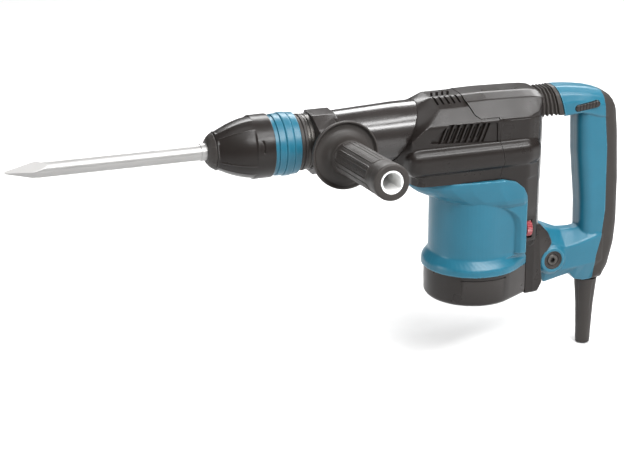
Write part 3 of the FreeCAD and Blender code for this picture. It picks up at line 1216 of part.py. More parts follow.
# ---------------------------------------------------------------- assembly
def build():
    front_cap()
    release_cover()
    release_sleeve()
    coil_spring("chuck_spring", "spring_radius", "spring_wire", "spring_pitch",
                "stop_front-sleeve_rear-spring_wire*2-0.6",
                ("sleeve_rear+spring_wire+0.3", "0", "0"), DIRECTIONS["X"])
    change_ring()
    tool_holder()
    lock_rollers()
    chisel()
    neck_ring()
    front_seal()
    neck_bearing()
    barrel_housing()
    guide_ring()
    impact_bolt()
    striker()
    o_ring("striker_seal", "striker_rear-8")
    cylinder()
    piston()
    o_ring("piston_seal", "piston_front+4")
    wrist_pin()
    connecting_rod()
    crankshaft()
    crank_gear()
    bearings()
    gear_housing()
    armature_shaft()
    wound_core()
    on_shaft("commutator", "commutator_radius", "commutator_bottom", "commutator_top")
    cooling_fan()
    stator()
    fan_baffle()
    brushes()
    main_housing()
    top_cover()
    rear_cover()
    speed_dial()
    speed_controller()
    motor_housing()
    base_cover()
    base_screws()
    saddle()
    clamp_band()
    side_grip()
    handle_shell("handle_left", -1)
    handle_shell("handle_right", 1)
    handle_pad()
    handle_screws()
    pivot_pin()
    pivot_bushings()
    switch_lever()
    switch_body()
    bellows()
    coil_spring("damper_spring", "damper_radius", "damper_wire", "damper_pitch",
                "bellows_rear-rear_x-damper_wire*2-1",
                ("rear_x+damper_wire+0.4", "0", "damper_z"), DIRECTIONS["X"])
    cord_guard()


def check_and_export():
    doc.recompute()
    bad = [o.Label for o in doc.Objects if "Invalid" in o.State or "Error" in o.State]
    for obj in NODES:
        if obj.Shape.isNull() or not obj.Shape.isValid() or not obj.Shape.Solids:
            bad.append(obj.Label)
    if bad:
        raise RuntimeError("failed: " + ", ".join(bad))
    os.makedirs("parts", exist_ok=True)
    for obj in NODES:
        obj.Shape.exportStep(os.path.join("parts", obj.Label + ".step"))
        print("%-20s %2d solids %10.0f mm3" % (obj.Label, len(obj.Shape.Solids),
                                               obj.Shape.Volume))


build()
check_and_export()
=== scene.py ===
"""The looks of the demolition hammer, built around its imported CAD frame.

Lengths in this file are millimetres in the frame's own axes: X back along the tool, Y to the operator's
right, Z up. They become metres where a mesh is made. The studio is placed in metres.
"""
import json
import math

import bmesh
import bpy
from mathutils import Matrix, Vector


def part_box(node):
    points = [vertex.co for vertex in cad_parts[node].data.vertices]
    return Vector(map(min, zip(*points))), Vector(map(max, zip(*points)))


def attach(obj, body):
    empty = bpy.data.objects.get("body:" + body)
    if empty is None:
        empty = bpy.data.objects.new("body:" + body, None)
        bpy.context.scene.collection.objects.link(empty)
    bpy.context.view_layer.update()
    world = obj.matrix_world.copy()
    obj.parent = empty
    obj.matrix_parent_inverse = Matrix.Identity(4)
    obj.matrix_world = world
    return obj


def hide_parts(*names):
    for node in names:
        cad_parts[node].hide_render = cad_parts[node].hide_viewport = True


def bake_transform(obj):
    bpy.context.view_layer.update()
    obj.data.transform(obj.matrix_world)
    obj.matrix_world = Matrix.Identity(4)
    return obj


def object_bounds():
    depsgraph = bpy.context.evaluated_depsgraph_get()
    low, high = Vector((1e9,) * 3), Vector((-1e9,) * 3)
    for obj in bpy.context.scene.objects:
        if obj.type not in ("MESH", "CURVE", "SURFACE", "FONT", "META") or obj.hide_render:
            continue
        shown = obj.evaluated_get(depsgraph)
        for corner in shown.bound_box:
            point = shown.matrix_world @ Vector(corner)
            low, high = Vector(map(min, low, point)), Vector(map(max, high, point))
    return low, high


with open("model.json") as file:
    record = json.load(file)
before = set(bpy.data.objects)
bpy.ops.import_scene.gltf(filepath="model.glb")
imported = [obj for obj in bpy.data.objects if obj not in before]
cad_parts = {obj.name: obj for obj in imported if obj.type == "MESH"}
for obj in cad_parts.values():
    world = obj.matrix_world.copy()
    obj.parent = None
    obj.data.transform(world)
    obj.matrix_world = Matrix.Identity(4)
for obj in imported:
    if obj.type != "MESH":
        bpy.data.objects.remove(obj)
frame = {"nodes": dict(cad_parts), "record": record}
CAD_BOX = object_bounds()
MM = 0.001


# ---- mesh tools
def placed(name, data):
    """A new object in the scene."""
    obj = bpy.data.objects.new(name, data)
    bpy.context.scene.collection.objects.link(obj)
    return obj


def new_object(name, verts, faces):
    """An object from points in millimetres, with its normals turned outward."""
    mesh = bpy.data.meshes.new(name)
    mesh.from_pydata([Vector(v) * MM for v in verts], [], faces)
    work = bmesh.new()
    work.from_mesh(mesh)
    bmesh.ops.remove_doubles(work, verts=work.verts, dist=1e-6)
    bmesh.ops.dissolve_degenerate(work, edges=work.edges, dist=1e-6)
    bmesh.ops.recalc_face_normals(work, faces=work.faces)
    work.to_mesh(mesh)
    work.free()
    return placed(name, mesh)


def settle(obj):
    """Applies the object's modifiers to its mesh."""
    bpy.context.view_layer.update()
    graph = bpy.context.evaluated_depsgraph_get()
    mesh = bpy.data.meshes.new_from_object(obj.evaluated_get(graph))
    obj.modifiers.clear()
    obj.data = mesh
    return obj


def fillet(corners, steps=6):
    """A closed outline from (a, b, radius) corners, each rounded by an arc of that radius."""
    points = []
    count = len(corners)
    for i, (a, b, radius) in enumerate(corners):
        here = Vector((a, b))
        before = Vector(corners[i - 1][:2]) - here
        after = Vector(corners[(i + 1) % count][:2]) - here
        if radius <= 0:
            points.append((a, b))
            continue
        half = before.angle(after) / 2
        reach = min(radius / math.tan(half), before.length * 0.48, after.length * 0.48)
        size = reach * math.tan(half)
        centre = here + (before.normalized() + after.normalized()).normalized() * (size / math.sin(half))
        first = here + before.normalized() * reach - centre
        last = here + after.normalized() * reach - centre
        sweep = math.atan2(first.cross(last), first.dot(last))
        for step in range(steps + 1):
            turned = Matrix.Rotation(sweep * step / steps, 2) @ first
            points.append(tuple(centre + turned))
    return points


def inset(outline, distance):
    """The outline drawn in by a distance along its own normals."""
    count = len(outline)
    area = sum(outline[i - 1][0] * outline[i][1] - outline[i][0] * outline[i - 1][1]
               for i in range(count))
    side = 1 if area > 0 else -1
    moved = []
    for i in range(count):
        here = Vector(outline[i])
        along = Vector(outline[(i + 1) % count]) - Vector(outline[i - 1])
        if along.length < 1e-9:
            moved.append(outline[i])
            continue
        along.normalize()
        moved.append(tuple(here + Vector((-along.y, along.x)) * distance * side))
    return moved


def stacked(name, rings, wrap=False, around=True):
    """A surface through closed or open rings of points, capped at both ends or joined end to end."""
    count = len(rings[0])
    verts = [point for ring in rings for point in ring]
    faces = []
    for r in range(len(rings) - (0 if wrap else 1)):
        low, high = r * count, (r + 1) % len(rings) * count
        for i in range(count if around else count - 1):
            j = (i + 1) % count
            faces.append((low + i, low + j, high + j, high + i))
    if not wrap:
        faces.append(tuple(range(count)))
        faces.append(tuple(range((len(rings) - 1) * count, len(rings) * count)))
    return new_object(name, verts, faces)


AXES = {"X": lambda a, b, h: (h, a, b), "Y": lambda a, b, h: (a, h, b), "Z": lambda a, b, h: (a, b, h)}


def slab(name, outline, low, high, along, edge=0, steps=4):
    """An outline pushed along an axis, with rounded rims. Its plane is YZ, XZ or XY."""
    put = AXES[along]
    layers = [(low, 0), (high, 0)]
    if edge > 0:
        turns = [math.pi / 2 * i / steps for i in range(steps + 1)]
        bottom = [(low + edge * (1 - math.sin(t)), edge * (1 - math.cos(t))) for t in turns[::-1]]
        layers = bottom + [(high - h + low, d) for h, d in reversed(bottom)]
    return stacked(name, [[put(a, b, h) for a, b in inset(outline, d)] for h, d in layers])


def along_axis(origin, direction):
    """A function that puts (distance along the axis, radius, angle) into the frame."""
    way = Vector(direction).normalized()
    helper = Vector((0, 0, 1)) if abs(way.z) < 0.9 else Vector((1, 0, 0))
    up = (helper - way * helper.dot(way)).normalized()
    side = way.cross(up)
    start = Vector(origin)

    def put(distance, radius, angle):
        return start + way * distance + (up * math.cos(angle) + side * math.sin(angle)) * radius
    return put


def turned(name, profile, put, steps=96, closed=False, shape=None):
    """A turned piece. The profile is (distance, radius); shape(distance, angle, radius) reworks it."""
    rings = []
    for i in range(steps):
        angle = 2 * math.pi * i / steps
        rings.append([put(d, shape(d, angle, r) if shape else r, angle) for d, r in profile])
    return stacked(name, rings, True, closed)


def drill(radius, start, end, put, steps=96):
    """A plain round cutter between two distances along an axis."""
    return turned("drill", [(start, 0), (start, radius), (end, radius), (end, 0)], put, steps)


def rounded_profile(corners, steps=4, spacing=None):
    """A closed turning profile from (distance, radius, fillet) corners."""
    points = fillet(corners, steps)
    if not spacing:
        return points
    finer = []
    for i, here in enumerate(points):
        after = points[(i + 1) % len(points)]
        pieces = max(1, round(math.dist(here, after) / spacing))
        for k in range(pieces):
            finer.append(tuple(h + (n - h) * k / pieces for h, n in zip(here, after)))
    return finer


def joined(name, objects):
    """Several objects as one."""
    work = bmesh.new()
    for obj in objects:
        work.from_mesh(obj.data)
        bpy.data.objects.remove(obj)
    mesh = bpy.data.meshes.new(name)
    work.to_mesh(mesh)
    work.free()
    return placed(name, mesh)


def moulded(name, objects, voxel, relax):
    """One moulding from overlapping blocks: fused, with its edges and corners softened."""
    obj = joined(name, objects)
    fuse = obj.modifiers.new("fuse", "REMESH")
    fuse.mode = "VOXEL"
    fuse.voxel_size = voxel * MM
    settle(obj)
    soften = obj.modifiers.new("soften", "SMOOTH")
    soften.factor = 0.5
    soften.iterations = relax
    return settle(obj)


def cut(obj, *tools, operation="DIFFERENCE"):
    """Takes the tools away from the object, or keeps what lies in them, and removes them."""
    for tool in tools:
        change = obj.modifiers.new("cut", "BOOLEAN")
        change.operation = operation
        change.solver = "MANIFOLD"
        change.object = tool
        settle(obj)
        bpy.data.objects.remove(tool)
    return obj


def copy_of(obj, name):
    """A second object with its own copy of the mesh."""
    return placed(name, obj.data.copy())


def smooth_shaded(obj, sharp_angle):
    """Smooth shading, broken at the edges that turn more than an angle in degrees."""
    work = bmesh.new()
    work.from_mesh(obj.data)
    bmesh.ops.remove_doubles(work, verts=work.verts, dist=2e-6)
    bmesh.ops.dissolve_degenerate(work, edges=work.edges, dist=2e-6)
    for face in work.faces:
        face.smooth = True
    for edge in work.edges:
        if len(edge.link_faces) == 2:
            edge.smooth = edge.calc_face_angle(0) < math.radians(sharp_angle)
    work.to_mesh(obj.data)
    work.free()


# ---- places read from the frame
def span(node):
    """A node's lowest and highest corners in millimetres."""
    low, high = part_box(node)
    return Vector(low) / MM, Vector(high) / MM


def joint_place(name):
    """A joint's place in millimetres and the direction of its axis."""
    joint = next(j for j in frame["record"]["behaviour"]["joints"] if j["name"] == name)
    return Vector(joint["pos_m"]) / MM, Vector(joint["axis"])


TOOL_AXIS = along_axis((0, 0, 0), (1, 0, 0))
CHUCK_LOW, CHUCK_HIGH = span("release_cover")
RING_LOW, RING_HIGH = span("change_ring")
MOTOR_LOW, MOTOR_HIGH = span("motor_housing")
FOOT_LOW, FOOT_HIGH = span("base_cover")
BELLOWS_LOW, BELLOWS_HIGH = span("bellows")
GUARD_LOW, GUARD_HIGH = span("cord_guard")
MOTOR_AXIS, _ = joint_place("armature_spin")
PIVOT, _ = joint_place("handle_swing")
DIAL, _ = joint_place("dial_turn")
GRIP_JOINT, GRIP_WAY = joint_place("grip_turn")
GRIP_AXIS = along_axis((GRIP_JOINT.x, 0, 0), GRIP_WAY)
GRIP_LENGTH = 205
SEAM_GAP = 0.6
SEAM_HEIGHT = 13.6
SIDE = 41.5
COVER_END = span("top_cover")[1].x
BLUE_BACK = 341.8
LEG_FRONT = 342.2
COLUMN_BACK = 366
SKIRT_BACK = 350.2
BOOT_LEAN = 0.25
BOOT_MIDDLE = 20
HANDLE_SCREWS = [(398.5, 26), (438, -60), (440, -165)]
CLEAR = 70


# ---- materials
def material(name, colour, roughness, metallic=0, grain=0, grain_size=0.9, variation=0.06,
             edge=0, edge_colour=None, streak=0, specular=0.5, coat=0):
    """A finish with fine grain, slow colour and gloss variation, and slightly worn edges."""
    made = bpy.data.materials.new(name)
    made.use_nodes = True
    nodes, links = made.node_tree.nodes, made.node_tree.links
    def settings(node, **values):
        for label, value in values.items():
            node.inputs[label.replace("_", " ")].default_value = value
        return node

    shader = settings(nodes["Principled BSDF"], Metallic=metallic, Specular_IOR_Level=specular,
                      Coat_Weight=coat, Coat_Roughness=0.25)
    place = nodes.new("ShaderNodeTexCoord")

    def noise(size_mm, detail, stretch=None):
        texture = settings(nodes.new("ShaderNodeTexNoise"), Scale=1 / (size_mm * MM), Detail=detail)
        source = place.outputs["Object"]
        if stretch:
            scaled = settings(nodes.new("ShaderNodeMapping"), Scale=stretch)
            links.new(source, scaled.inputs["Vector"])
            source = scaled.outputs["Vector"]
        links.new(source, texture.inputs["Vector"])
        return texture.outputs["Fac"]

    def ranged(value, low, high, start=0.3, end=0.7):
        change = settings(nodes.new("ShaderNodeMapRange"), From_Min=start, From_Max=end, To_Min=low,
                          To_Max=high)
        links.new(value, change.inputs["Value"])
        return change.outputs["Result"]

    def mixed(factor, first, second):
        mix = nodes.new("ShaderNodeMix")
        mix.data_type = "RGBA"
        links.new(factor, mix.inputs["Factor"])
        for socket, value in ((mix.inputs[6], first), (mix.inputs[7], second)):
            if isinstance(value, tuple):
                socket.default_value = (*value, 1)
            else:
                links.new(value, socket)
        return mix.outputs[2]

    dark = tuple(c * (1 - variation) for c in colour)
    light = tuple(min(1, c * (1 + variation)) for c in colour)
    shade = mixed(ranged(noise(28, 4), 0, 1), dark, light)
    speckle = tuple(min(1, c * (1 + variation * 2.5)) for c in colour)
    shade = mixed(ranged(noise(grain_size * 1.7, 2), 0, 0.35, 0.55, 0.8), shade, speckle)
    if edge > 0:
        worn = nodes.new("ShaderNodeNewGeometry").outputs["Pointiness"]
        worn = ranged(worn, 0, edge, 0.505, 0.56)
        shade = mixed(worn, shade, edge_colour or tuple(min(1, c * 2.2 + 0.03) for c in colour))
    links.new(shade, shader.inputs["Base Color"])
    rough = ranged(noise(17, 3), roughness * 0.88, min(1, roughness * 1.12))
    links.new(rough, shader.inputs["Roughness"])
    height = noise(grain_size, 3)
    if streak > 0:
        height = noise(grain_size, 2, (1 - streak, 1, 1))
    bump = settings(nodes.new("ShaderNodeBump"), Strength=grain, Distance=0.12 * MM)
    links.new(height, bump.inputs["Height"])
    links.new(bump.outputs["Normal"], shader.inputs["Normal"])
    return made


CHARCOAL = (0.0120, 0.0096, 0.0086)
TEAL = (0.0112, 0.104, 0.160)
FINISH = {
    "black_plastic": material(
        "charcoal_nylon", CHARCOAL, 0.30, specular=0.26, grain=0.25, edge=0.35, variation=0.08),
    "black_rubber": material(
        "matte_rubber", (0.027, 0.0235, 0.0215), 0.5, grain=0.5, edge=0.25, grain_size=0.6, specular=0.28),
    "grey_casting": material(
        "painted_casting", (0.020, 0.017, 0.016), 0.19, specular=0.5, grain=0.3, grain_size=1.4,
        edge=0.3, coat=0.2),
    "teal_plastic": material(
        "teal_nylon", TEAL, 0.34, specular=0.35, grain=0.2, edge=0.25, variation=0.05,
        edge_colour=(0.16, 0.42, 0.55)),
    "tool_steel": material(
        "ground_tool_steel", (0.33, 0.325, 0.32), 0.40, metallic=0.6, grain=0.12, grain_size=0.5,
        streak=0.9, variation=0.04),
    "dark_steel": material(
        "oiled_steel", (0.045, 0.042, 0.039), 0.34, metallic=0.8, grain=0.35, grain_size=0.8,
        streak=0.6, edge=0.4, edge_colour=(0.15, 0.14, 0.13)),
    "bright_steel": material(
        "ground_steel", (0.62, 0.61, 0.60), 0.26, metallic=1, grain=0.3, grain_size=0.5, streak=0.7),
    "aluminium": material(
        "cast_aluminium", (0.66, 0.66, 0.67), 0.46, metallic=1, grain=0.6, grain_size=1.1, edge=0.3,
        edge_colour=(0.85, 0.85, 0.86)),
    "copper": material(
        "enamelled_copper", (0.62, 0.27, 0.12), 0.34, metallic=0.9, grain=0.8, grain_size=0.8,
        streak=0.8, variation=0.15),
    "brass": material("stamped_brass", (0.70, 0.52, 0.22), 0.33, metallic=1, grain=0.25),
    "carbon": material("pressed_carbon", (0.022, 0.022, 0.023), 0.7, grain=0.6, grain_size=0.5),
    "red_plastic": material(
        "red_wheel_plastic", (0.22, 0.016, 0.026), 0.30, grain=0.12, edge=0.3, edge_colour=(0.62, 0.24,
        0.24)),
    "white_plastic": material("white_liner_plastic", (0.82, 0.82, 0.81), 0.35, grain=0.1, variation=0.03),
    "fan_plastic": material("fan_plastic", (0.05, 0.05, 0.05), 0.5, grain=0.3),
    "board": material("potted_board", (0.03, 0.12, 0.05), 0.4, grain=0.5, grain_size=2, variation=0.2),
}


def finish(obj, body, slot, *nodes, sharp=38):
    """Gives a piece its material and its body, and hides the CAD nodes it stands for."""
    smooth_shaded(obj, sharp)
    obj.data.materials.clear()
    obj.data.materials.append(FINISH[slot])
    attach(obj, body)
    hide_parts(*nodes)


def dress_cad_nodes():
    """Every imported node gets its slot's finish, including those that a piece replaces."""
    for part in frame["record"]["subparts"]:
        obj = frame["nodes"][part["node"]]
        obj.data.materials.clear()
        obj.data.materials.append(FINISH[part["material_slot"]])


# ---- chuck and tool
def bell(value, centre, half, soft):
    """1 within half of the centre, falling smoothly to 0 over the soft margin."""
    beyond = (abs(value - centre) - half) / soft
    level = min(1, max(0, 1 - beyond))
    return level * level * (3 - 2 * level)


def angle_from(angle, centre, repeat=360):
    """Degrees from the nearest of the repeated centres, between -repeat/2 and repeat/2."""
    turn = math.degrees(angle) - centre
    return (turn + repeat / 2) % repeat - repeat / 2


def chuck_cover():
    """The sliding cover: four wide flats between narrow ribs, and a round skirt with four catches."""
    near_panel, panel_half, flatness, rib_height = 75, 34.5, 0.5, 0.45
    front, step, rear = CHUCK_LOW.x, 48, CHUCK_HIGH.x
    nose, mouth, full, wall = 19.5, 17.4, CHUCK_HIGH.z, 2.3
    catch, catch_half, catch_height = 50.3, 6.2, 0.5
    crescent, crescent_half, crescent_depth, crescent_bend = 53.4, 6, 1.1, 0.035

    def outer(x):
        part = min(1, max(0, (x - front) / (step + 2 - front)))
        return nose + (full - nose) * math.sin(math.pi / 2 * part) ** 0.92

    profile = [(front, mouth), (front, nose - 1), (front + 0.3, nose - 0.3)]
    x = front + 1
    while x < rear - 1.2:
        profile.append((x, outer(x)))
        x += 0.7
    profile += [(rear - 0.9, full), (rear - 0.3, full - 0.2), (rear, full - 0.8), (rear, full - wall)]
    profile += [(50, full - wall), (34.5, full - 4.9), (19.5, 23), (11.5, mouth)]

    def shape(x, angle, radius):
        if radius < outer(x) - 1.3:
            return radius
        off = angle_from(angle, near_panel, 90)
        fade = bell(x, (front + step) / 2, (step - front) / 2 - 2.5, 1.4)
        if abs(off) < panel_half:
            flat = math.cos(math.radians(panel_half)) / math.cos(math.radians(off))
            depth = flatness * (1 - 0.55 * (x - front) / (step - front))
            radius *= 1 - depth * fade * (1 - flat)
        radius += rib_height * fade * bell(abs(off), panel_half, 0.5, 1.3)
        arc = math.radians(off) * full
        radius += catch_height * bell(x, catch, 1.9, 0.5) * bell(arc, 0, catch_half, 0.6)
        bent = crescent - crescent_bend * arc * arc
        radius -= crescent_depth * bell(x, bent, 0.5, 0.7) * bell(arc, 0, crescent_half, 0.8)
        return min(radius, full)

    cover = turned("chuck_cover", profile, TOOL_AXIS, 360, True, shape)
    finish(cover, "release_cover", "black_plastic", "release_cover", sharp=50)


def dust_cap():
    """The rubber cap round the mouth, with a fine lip."""
    profile = rounded_profile([
        (0, 9.6, 0.4), (0, 12, 0.8), (2.6, 15.3, 1.2), (7.5, 19, 0.5), (7.5, 15.2, 0.2),
        (3.1, 15.2, 0.2), (3.1, 9.6, 0.3)], 4, 0.8)

    def shape(x, angle, radius):
        rib = bell(angle_from(angle, 0, 30), 0, 3, 2) * bell(x, 4.6, 1.6, 0.8)
        return radius + 0.35 * rib if radius > 15.6 else radius
    cap = turned("dust_cap", profile, TOOL_AXIS, 240, True, shape)
    finish(cap, "tool_holder", "black_rubber", "front_cap")


def angle_ring():
    """The blue change ring: a neck under the cover's skirt and three rounded bands."""
    profile = rounded_profile([
        (RING_LOW.x, 28.5, 0.2), (RING_LOW.x, 30.5, 0.4), (69.9, 30.5, 0.5), (70.2, 31.9, 0.7),
        (76.6, 32.2, 0.9), (77.2, 31, 0.3), (77.9, 33, 1.6), (85.2, 33, 1.6), (85.9, 31.2, 0.3),
        (86.5, 32.3, 0.9), (RING_HIGH.x - 0.4, 31.9, 0.8), (RING_HIGH.x, 30.2, 0.2), (76, 30, 0.2),
        (76, 17.3, 0.1), (70, 17.3, 0.1), (70, 28.5, 0.2)], 5, 1)
    ring = turned("change_ring_bands", profile, TOOL_AXIS, 200, True)
    finish(ring, "change_ring", "teal_plastic", "change_ring")


def bull_point():
    """A round bar with four ground facets and the grooves and keyways of an 18 mm shank."""
    tip, start, end = -206, -165, 84
    bar, shank = 8.2, 9
    facet_start, facet_tip = bar * math.sqrt(2), 1.2
    groove_low, groove_high, roller, roller_way = 33, 74, 4.8, 12.4
    keyway_low, keyway_half, keyway_floor = 12, 2.6, 7

    def shape(x, angle, radius):
        up, out = math.cos(angle), math.sin(angle)
        if x < start + 1e-6:
            size = facet_tip + (facet_start - facet_tip) * (x - tip) / (start - tip)
            return min(radius, size / (abs(up) + abs(out)))
        if groove_low <= x <= groove_high:
            reach = roller ** 2 - (roller_way * out) ** 2
            if reach > 0:
                radius = min(radius, roller_way * abs(up) - math.sqrt(reach))
        if x > keyway_low and radius * abs(up) < keyway_half and abs(out) > 0:
            radius = min(radius, keyway_floor / abs(out))
        return radius

    stations = [tip + (start - tip) * i / 40 for i in range(41)]
    stations += [start + 3, -120, -60, -30, -7]
    profile = [(tip, 0)] + [(x, bar) for x in stations]
    profile += [(-6.2, bar), (-6, shank - 0.2), (-5.8, shank), (11.9, shank), (12.1, shank)]
    profile += [(32.8, shank), (33.2, shank), (50, shank), (73.8, shank), (74.2, shank)]
    profile += [(end - 1, shank), (end, shank - 1), (end, 0)]
    point = turned("bull_point", profile, TOOL_AXIS, 144, False, shape)
    finish(point, "chisel", "tool_steel", "chisel", sharp=25)


# ---- barrel
def barrel():
    """The neck ring, the bare steel nose and the painted barrel, which widens towards the housing."""
    bore, inner = 24.1, 17.6
    neck = rounded_profile([
        (94, bore, 0.2), (94, 29, 0.9), (96.6, 29.4, 0.5), (96.9, 28.2, 0.3), (98.4, 28.2, 0.3),
        (98.7, 29.5, 0.6), (101.4, 29.4, 0.3), (101.4, bore, 0.2)], 4, 0.8)
    finish(turned("neck_collar", neck, TOOL_AXIS, 160, True), "housing", "black_rubber", "neck_ring")
    ring = rounded_profile([
        (101.6, bore, 0.2), (101.6, 28.7, 0.7), (104, 29, 0.4), (104.3, 28.2, 0.3), (105.2, 28.2, 0.3),
        (105.5, 29, 0.4), (109.4, 29, 0.3), (109.4, bore, 0.2)], 4, 0.8)
    finish(turned("barrel_nose", ring, TOOL_AXIS, 160, True), "housing", "dark_steel", "barrel_housing")
    profile = rounded_profile([
        (109.5, bore, 0.2), (109.5, 29.4, 0.5), (138, 29.4, 8),
        (204, 32.3, 4), (229, 32.5, 0.3), (229, 28.5, 0.3), (205, 24, 0.2),
        (140, 24, 0.2), (140, inner, 0.2), (118.1, inner, 0.2), (118.1, bore, 0.2)], 6, 4)
    finish(turned("barrel_casting", profile, TOOL_AXIS, 160, True), "housing", "grey_casting",
           "barrel_housing")


# ---- crank casing
def half_to_full(half):
    """A closed YZ outline from its right half, listed top to bottom as (y, z, fillet)."""
    return half + [(-y, z, r) for y, z, r in reversed(half)]


def mirrored(half):
    """A closed plan from its right half, listed front to back as (x, y, fillet)."""
    return half + [(x, -y, r) for x, y, r in reversed(half)]


def on_rays(outline, angles):
    """Where rays from the centre at the given angles meet a closed outline round it."""
    points = []
    count = len(outline)
    for angle in angles:
        ray = Vector((math.sin(angle), math.cos(angle)))
        best = 0
        for i in range(count):
            a, b = Vector(outline[i]), Vector(outline[(i + 1) % count])
            run = b - a
            cross = ray.cross(run)
            if abs(cross) < 1e-9:
                continue
            reach, along = a.cross(run) / cross, a.cross(ray) / cross
            if -1e-6 <= along <= 1 + 1e-6:
                best = max(best, reach)
        points.append(tuple(ray * best))
    return points


def nose_block(section, end):
    """The casing's upper body: from a slanted collar round the barrel to the full section."""
    count = 240
    angles = [2 * math.pi * i / count for i in range(count)]
    full = on_rays(fillet(section, 3), angles)
    collar_radius, collar_lean, shoulder = 33.1, 0.52, 28.8

    def front(z):
        if z > shoulder:
            return 245.5 - 0.58 * (z - shoulder)
        return 209.5 + (1.25 * z if z > 0 else -0.09 * z)

    collar = []
    for angle in angles:
        y, z = collar_radius * math.sin(angle), collar_radius * math.cos(angle)
        collar.append((209.7 + collar_lean * z, y, z))
    rings = [collar, [(front(z), y, z) for y, z in full]]
    rings += [[(x, y, z) for y, z in full] for x in (262, end)]
    return stacked("nose", rings)


def plan_block(name, half, low, high, edge=0):
    """A block from the right half of its plan, pushed between two heights."""
    return slab(name, fillet(mirrored(half), 6), low, high, "Z", edge, 6)


def box_block(name, low, high):
    """A plain box between two corners."""
    outline = [(low[0], low[1]), (high[0], low[1]), (high[0], high[1]), (low[0], high[1])]
    return slab(name, outline, low[2], high[2], "Z")


def side_slab(name, outline, side, inner, outer, *rims):
    """A slab on one side of the tool, between two distances from its middle plane."""
    near, far = sorted((side * inner, side * outer))
    return slab(name, outline, near, far, "Y", *rims)


def pivot_axis(y, side=1):
    """The axis of the handle's pivot, with distances counted from a station across the tool."""
    return along_axis((PIVOT.x, y, PIVOT.z), (0, side, 0))


def rear_plan(side, back):
    """The rounded back of the casing in plan, from a station well ahead of its cut."""
    return [(290, side, 0), (343, side, 14), (357, side - 5, 10), (back, side - 17, 9)]


UPPER_SECTION = half_to_full([(13, 37.2, 8), (27.5, 28.5, 2), (SIDE, 14, 6), (SIDE, -20, 0), (36, -40, 4)])
ROOF_SECTION = half_to_full([(13, 38, 8), (25.5, 32.7, 2.5), (SIDE, 15, 4), (SIDE, 4, 0)])


def bulge_block(name, front, back):
    """The rounded roll along the casing's side."""
    plan = [(front, 30, 8), (front + 3, 46, 9), (front + 14, 49, 10), (back - 22, 49, 20),
            (back - 7, 41, 10), (back, 26, 6)]
    return plan_block(name, plan, -40.5, -9, 12)


LOUVRE_PITCH = 7.4


def louvre_recess(side):
    """The sunk field of the side louvres, with thin leaning fins left standing in it."""
    field = fillet([(250.5, 14.6, 1.5), (306, 12, 1.5), (307, -9.5, 1.5), (226, -4, 2.5)], 4)
    depth = 4.2
    root = SIDE - depth - 2
    pocket = side_slab("field", field, side, SIDE - depth, SIDE + 6)
    for i in range(7):
        x = 238.5 + LOUVRE_PITCH * i
        fin = [(x, -12), (x + 2.2, -12), (x + 14.2, 18), (x + 12, 18)]
        cut(pocket, side_slab("fin", fin, side, root, SIDE - 0.9, 0.5, 2))
    blind = [(289, -12), (320, -12), (320, 18), (300.5, 18)]
    return cut(pocket, side_slab("blind", blind, side, root, SIDE - 1.8))


def louvre_slots(side):
    """Deep openings between the fins."""
    slots = []
    for i in range(6):
        x = 244.2 + LOUVRE_PITCH * i
        slot = [(x, -3.5), (x + 3, -3.5), (x + 8, 9), (x + 5, 9)]
        slots.append(side_slab("slot", slot, side, SIDE - 7.4, SIDE - 3))
    return slots


def top_vent_cutters():
    """Air slots in the roof: a row across the crown and a slanted row over each shoulder."""
    cutters = []
    crown_pitch, shoulder_pitch, inner, outer = 6.1, 6.3, 11.5, 22.5
    for i in range(4):
        x = 248 + crown_pitch * i
        slot = fillet([(x, 5.5, 1), (x + 3, 5.5, 1), (x - 2.6, -8.5, 1), (x - 5.6, -8.5, 1)], 3)
        cutters.append(slab("vent", slot, 31, 46, "Z"))
    for side in (-1, 1):
        for i in range(5):
            x = 242.5 + shoulder_pitch * i
            slot = [(x, inner), (x + 2.5, inner), (x + 4.6, outer), (x + 2.1, outer)]
            cutters.append(slab("vent", fillet([(a, side * b, 0.9) for a, b in slot], 3), 20, 44, "Z"))
    return cutters


def roof_cutter(gap):
    """What belongs to the top cover: everything behind and above the stepped seam."""
    seam = [(276, 60, 0), (276, 34, 2), (278.5, 29, 3), (282, 21, 3), (287.5, 17, 3),
            (308.2, 17, 0.5), (308.7, SEAM_HEIGHT, 0.5), (375, SEAM_HEIGHT, 0), (375, 60, 0)]
    return slab("roof_region", inset(fillet(seam, 4), -gap), -CLEAR, CLEAR, "Y")


def rear_cutter(gap):
    """What belongs to the rear cover: behind a slightly wavy upright seam."""
    seam = [(308.6, SEAM_HEIGHT, 0), (308.3, 8, 4), (309.7, -14, 6), (312.5, -30, 6), (309.5, -47, 4),
            (309, -55, 0), (309, -240, 0), (420, -240, 0), (420, SEAM_HEIGHT, 0)]
    return slab("rear_region", inset(fillet(seam, 4), -gap), -CLEAR, CLEAR, "Y")


def motor_plan(radius, rear_x, rear_half, steps=40):
    """A round front that runs tangentially back to the rear corners, as a closed plan."""
    offset = rear_x - MOTOR_AXIS.x
    reach = math.hypot(offset, rear_half)
    tangent = math.atan2(rear_half, offset) + math.acos(min(1, radius / reach))
    points = []
    for i in range(steps + 1):
        angle = tangent + (2 * math.pi - 2 * tangent) * i / steps
        points.append((MOTOR_AXIS.x + radius * math.cos(angle), radius * math.sin(angle)))
    return points + [(rear_x, -rear_half), (rear_x, rear_half)]


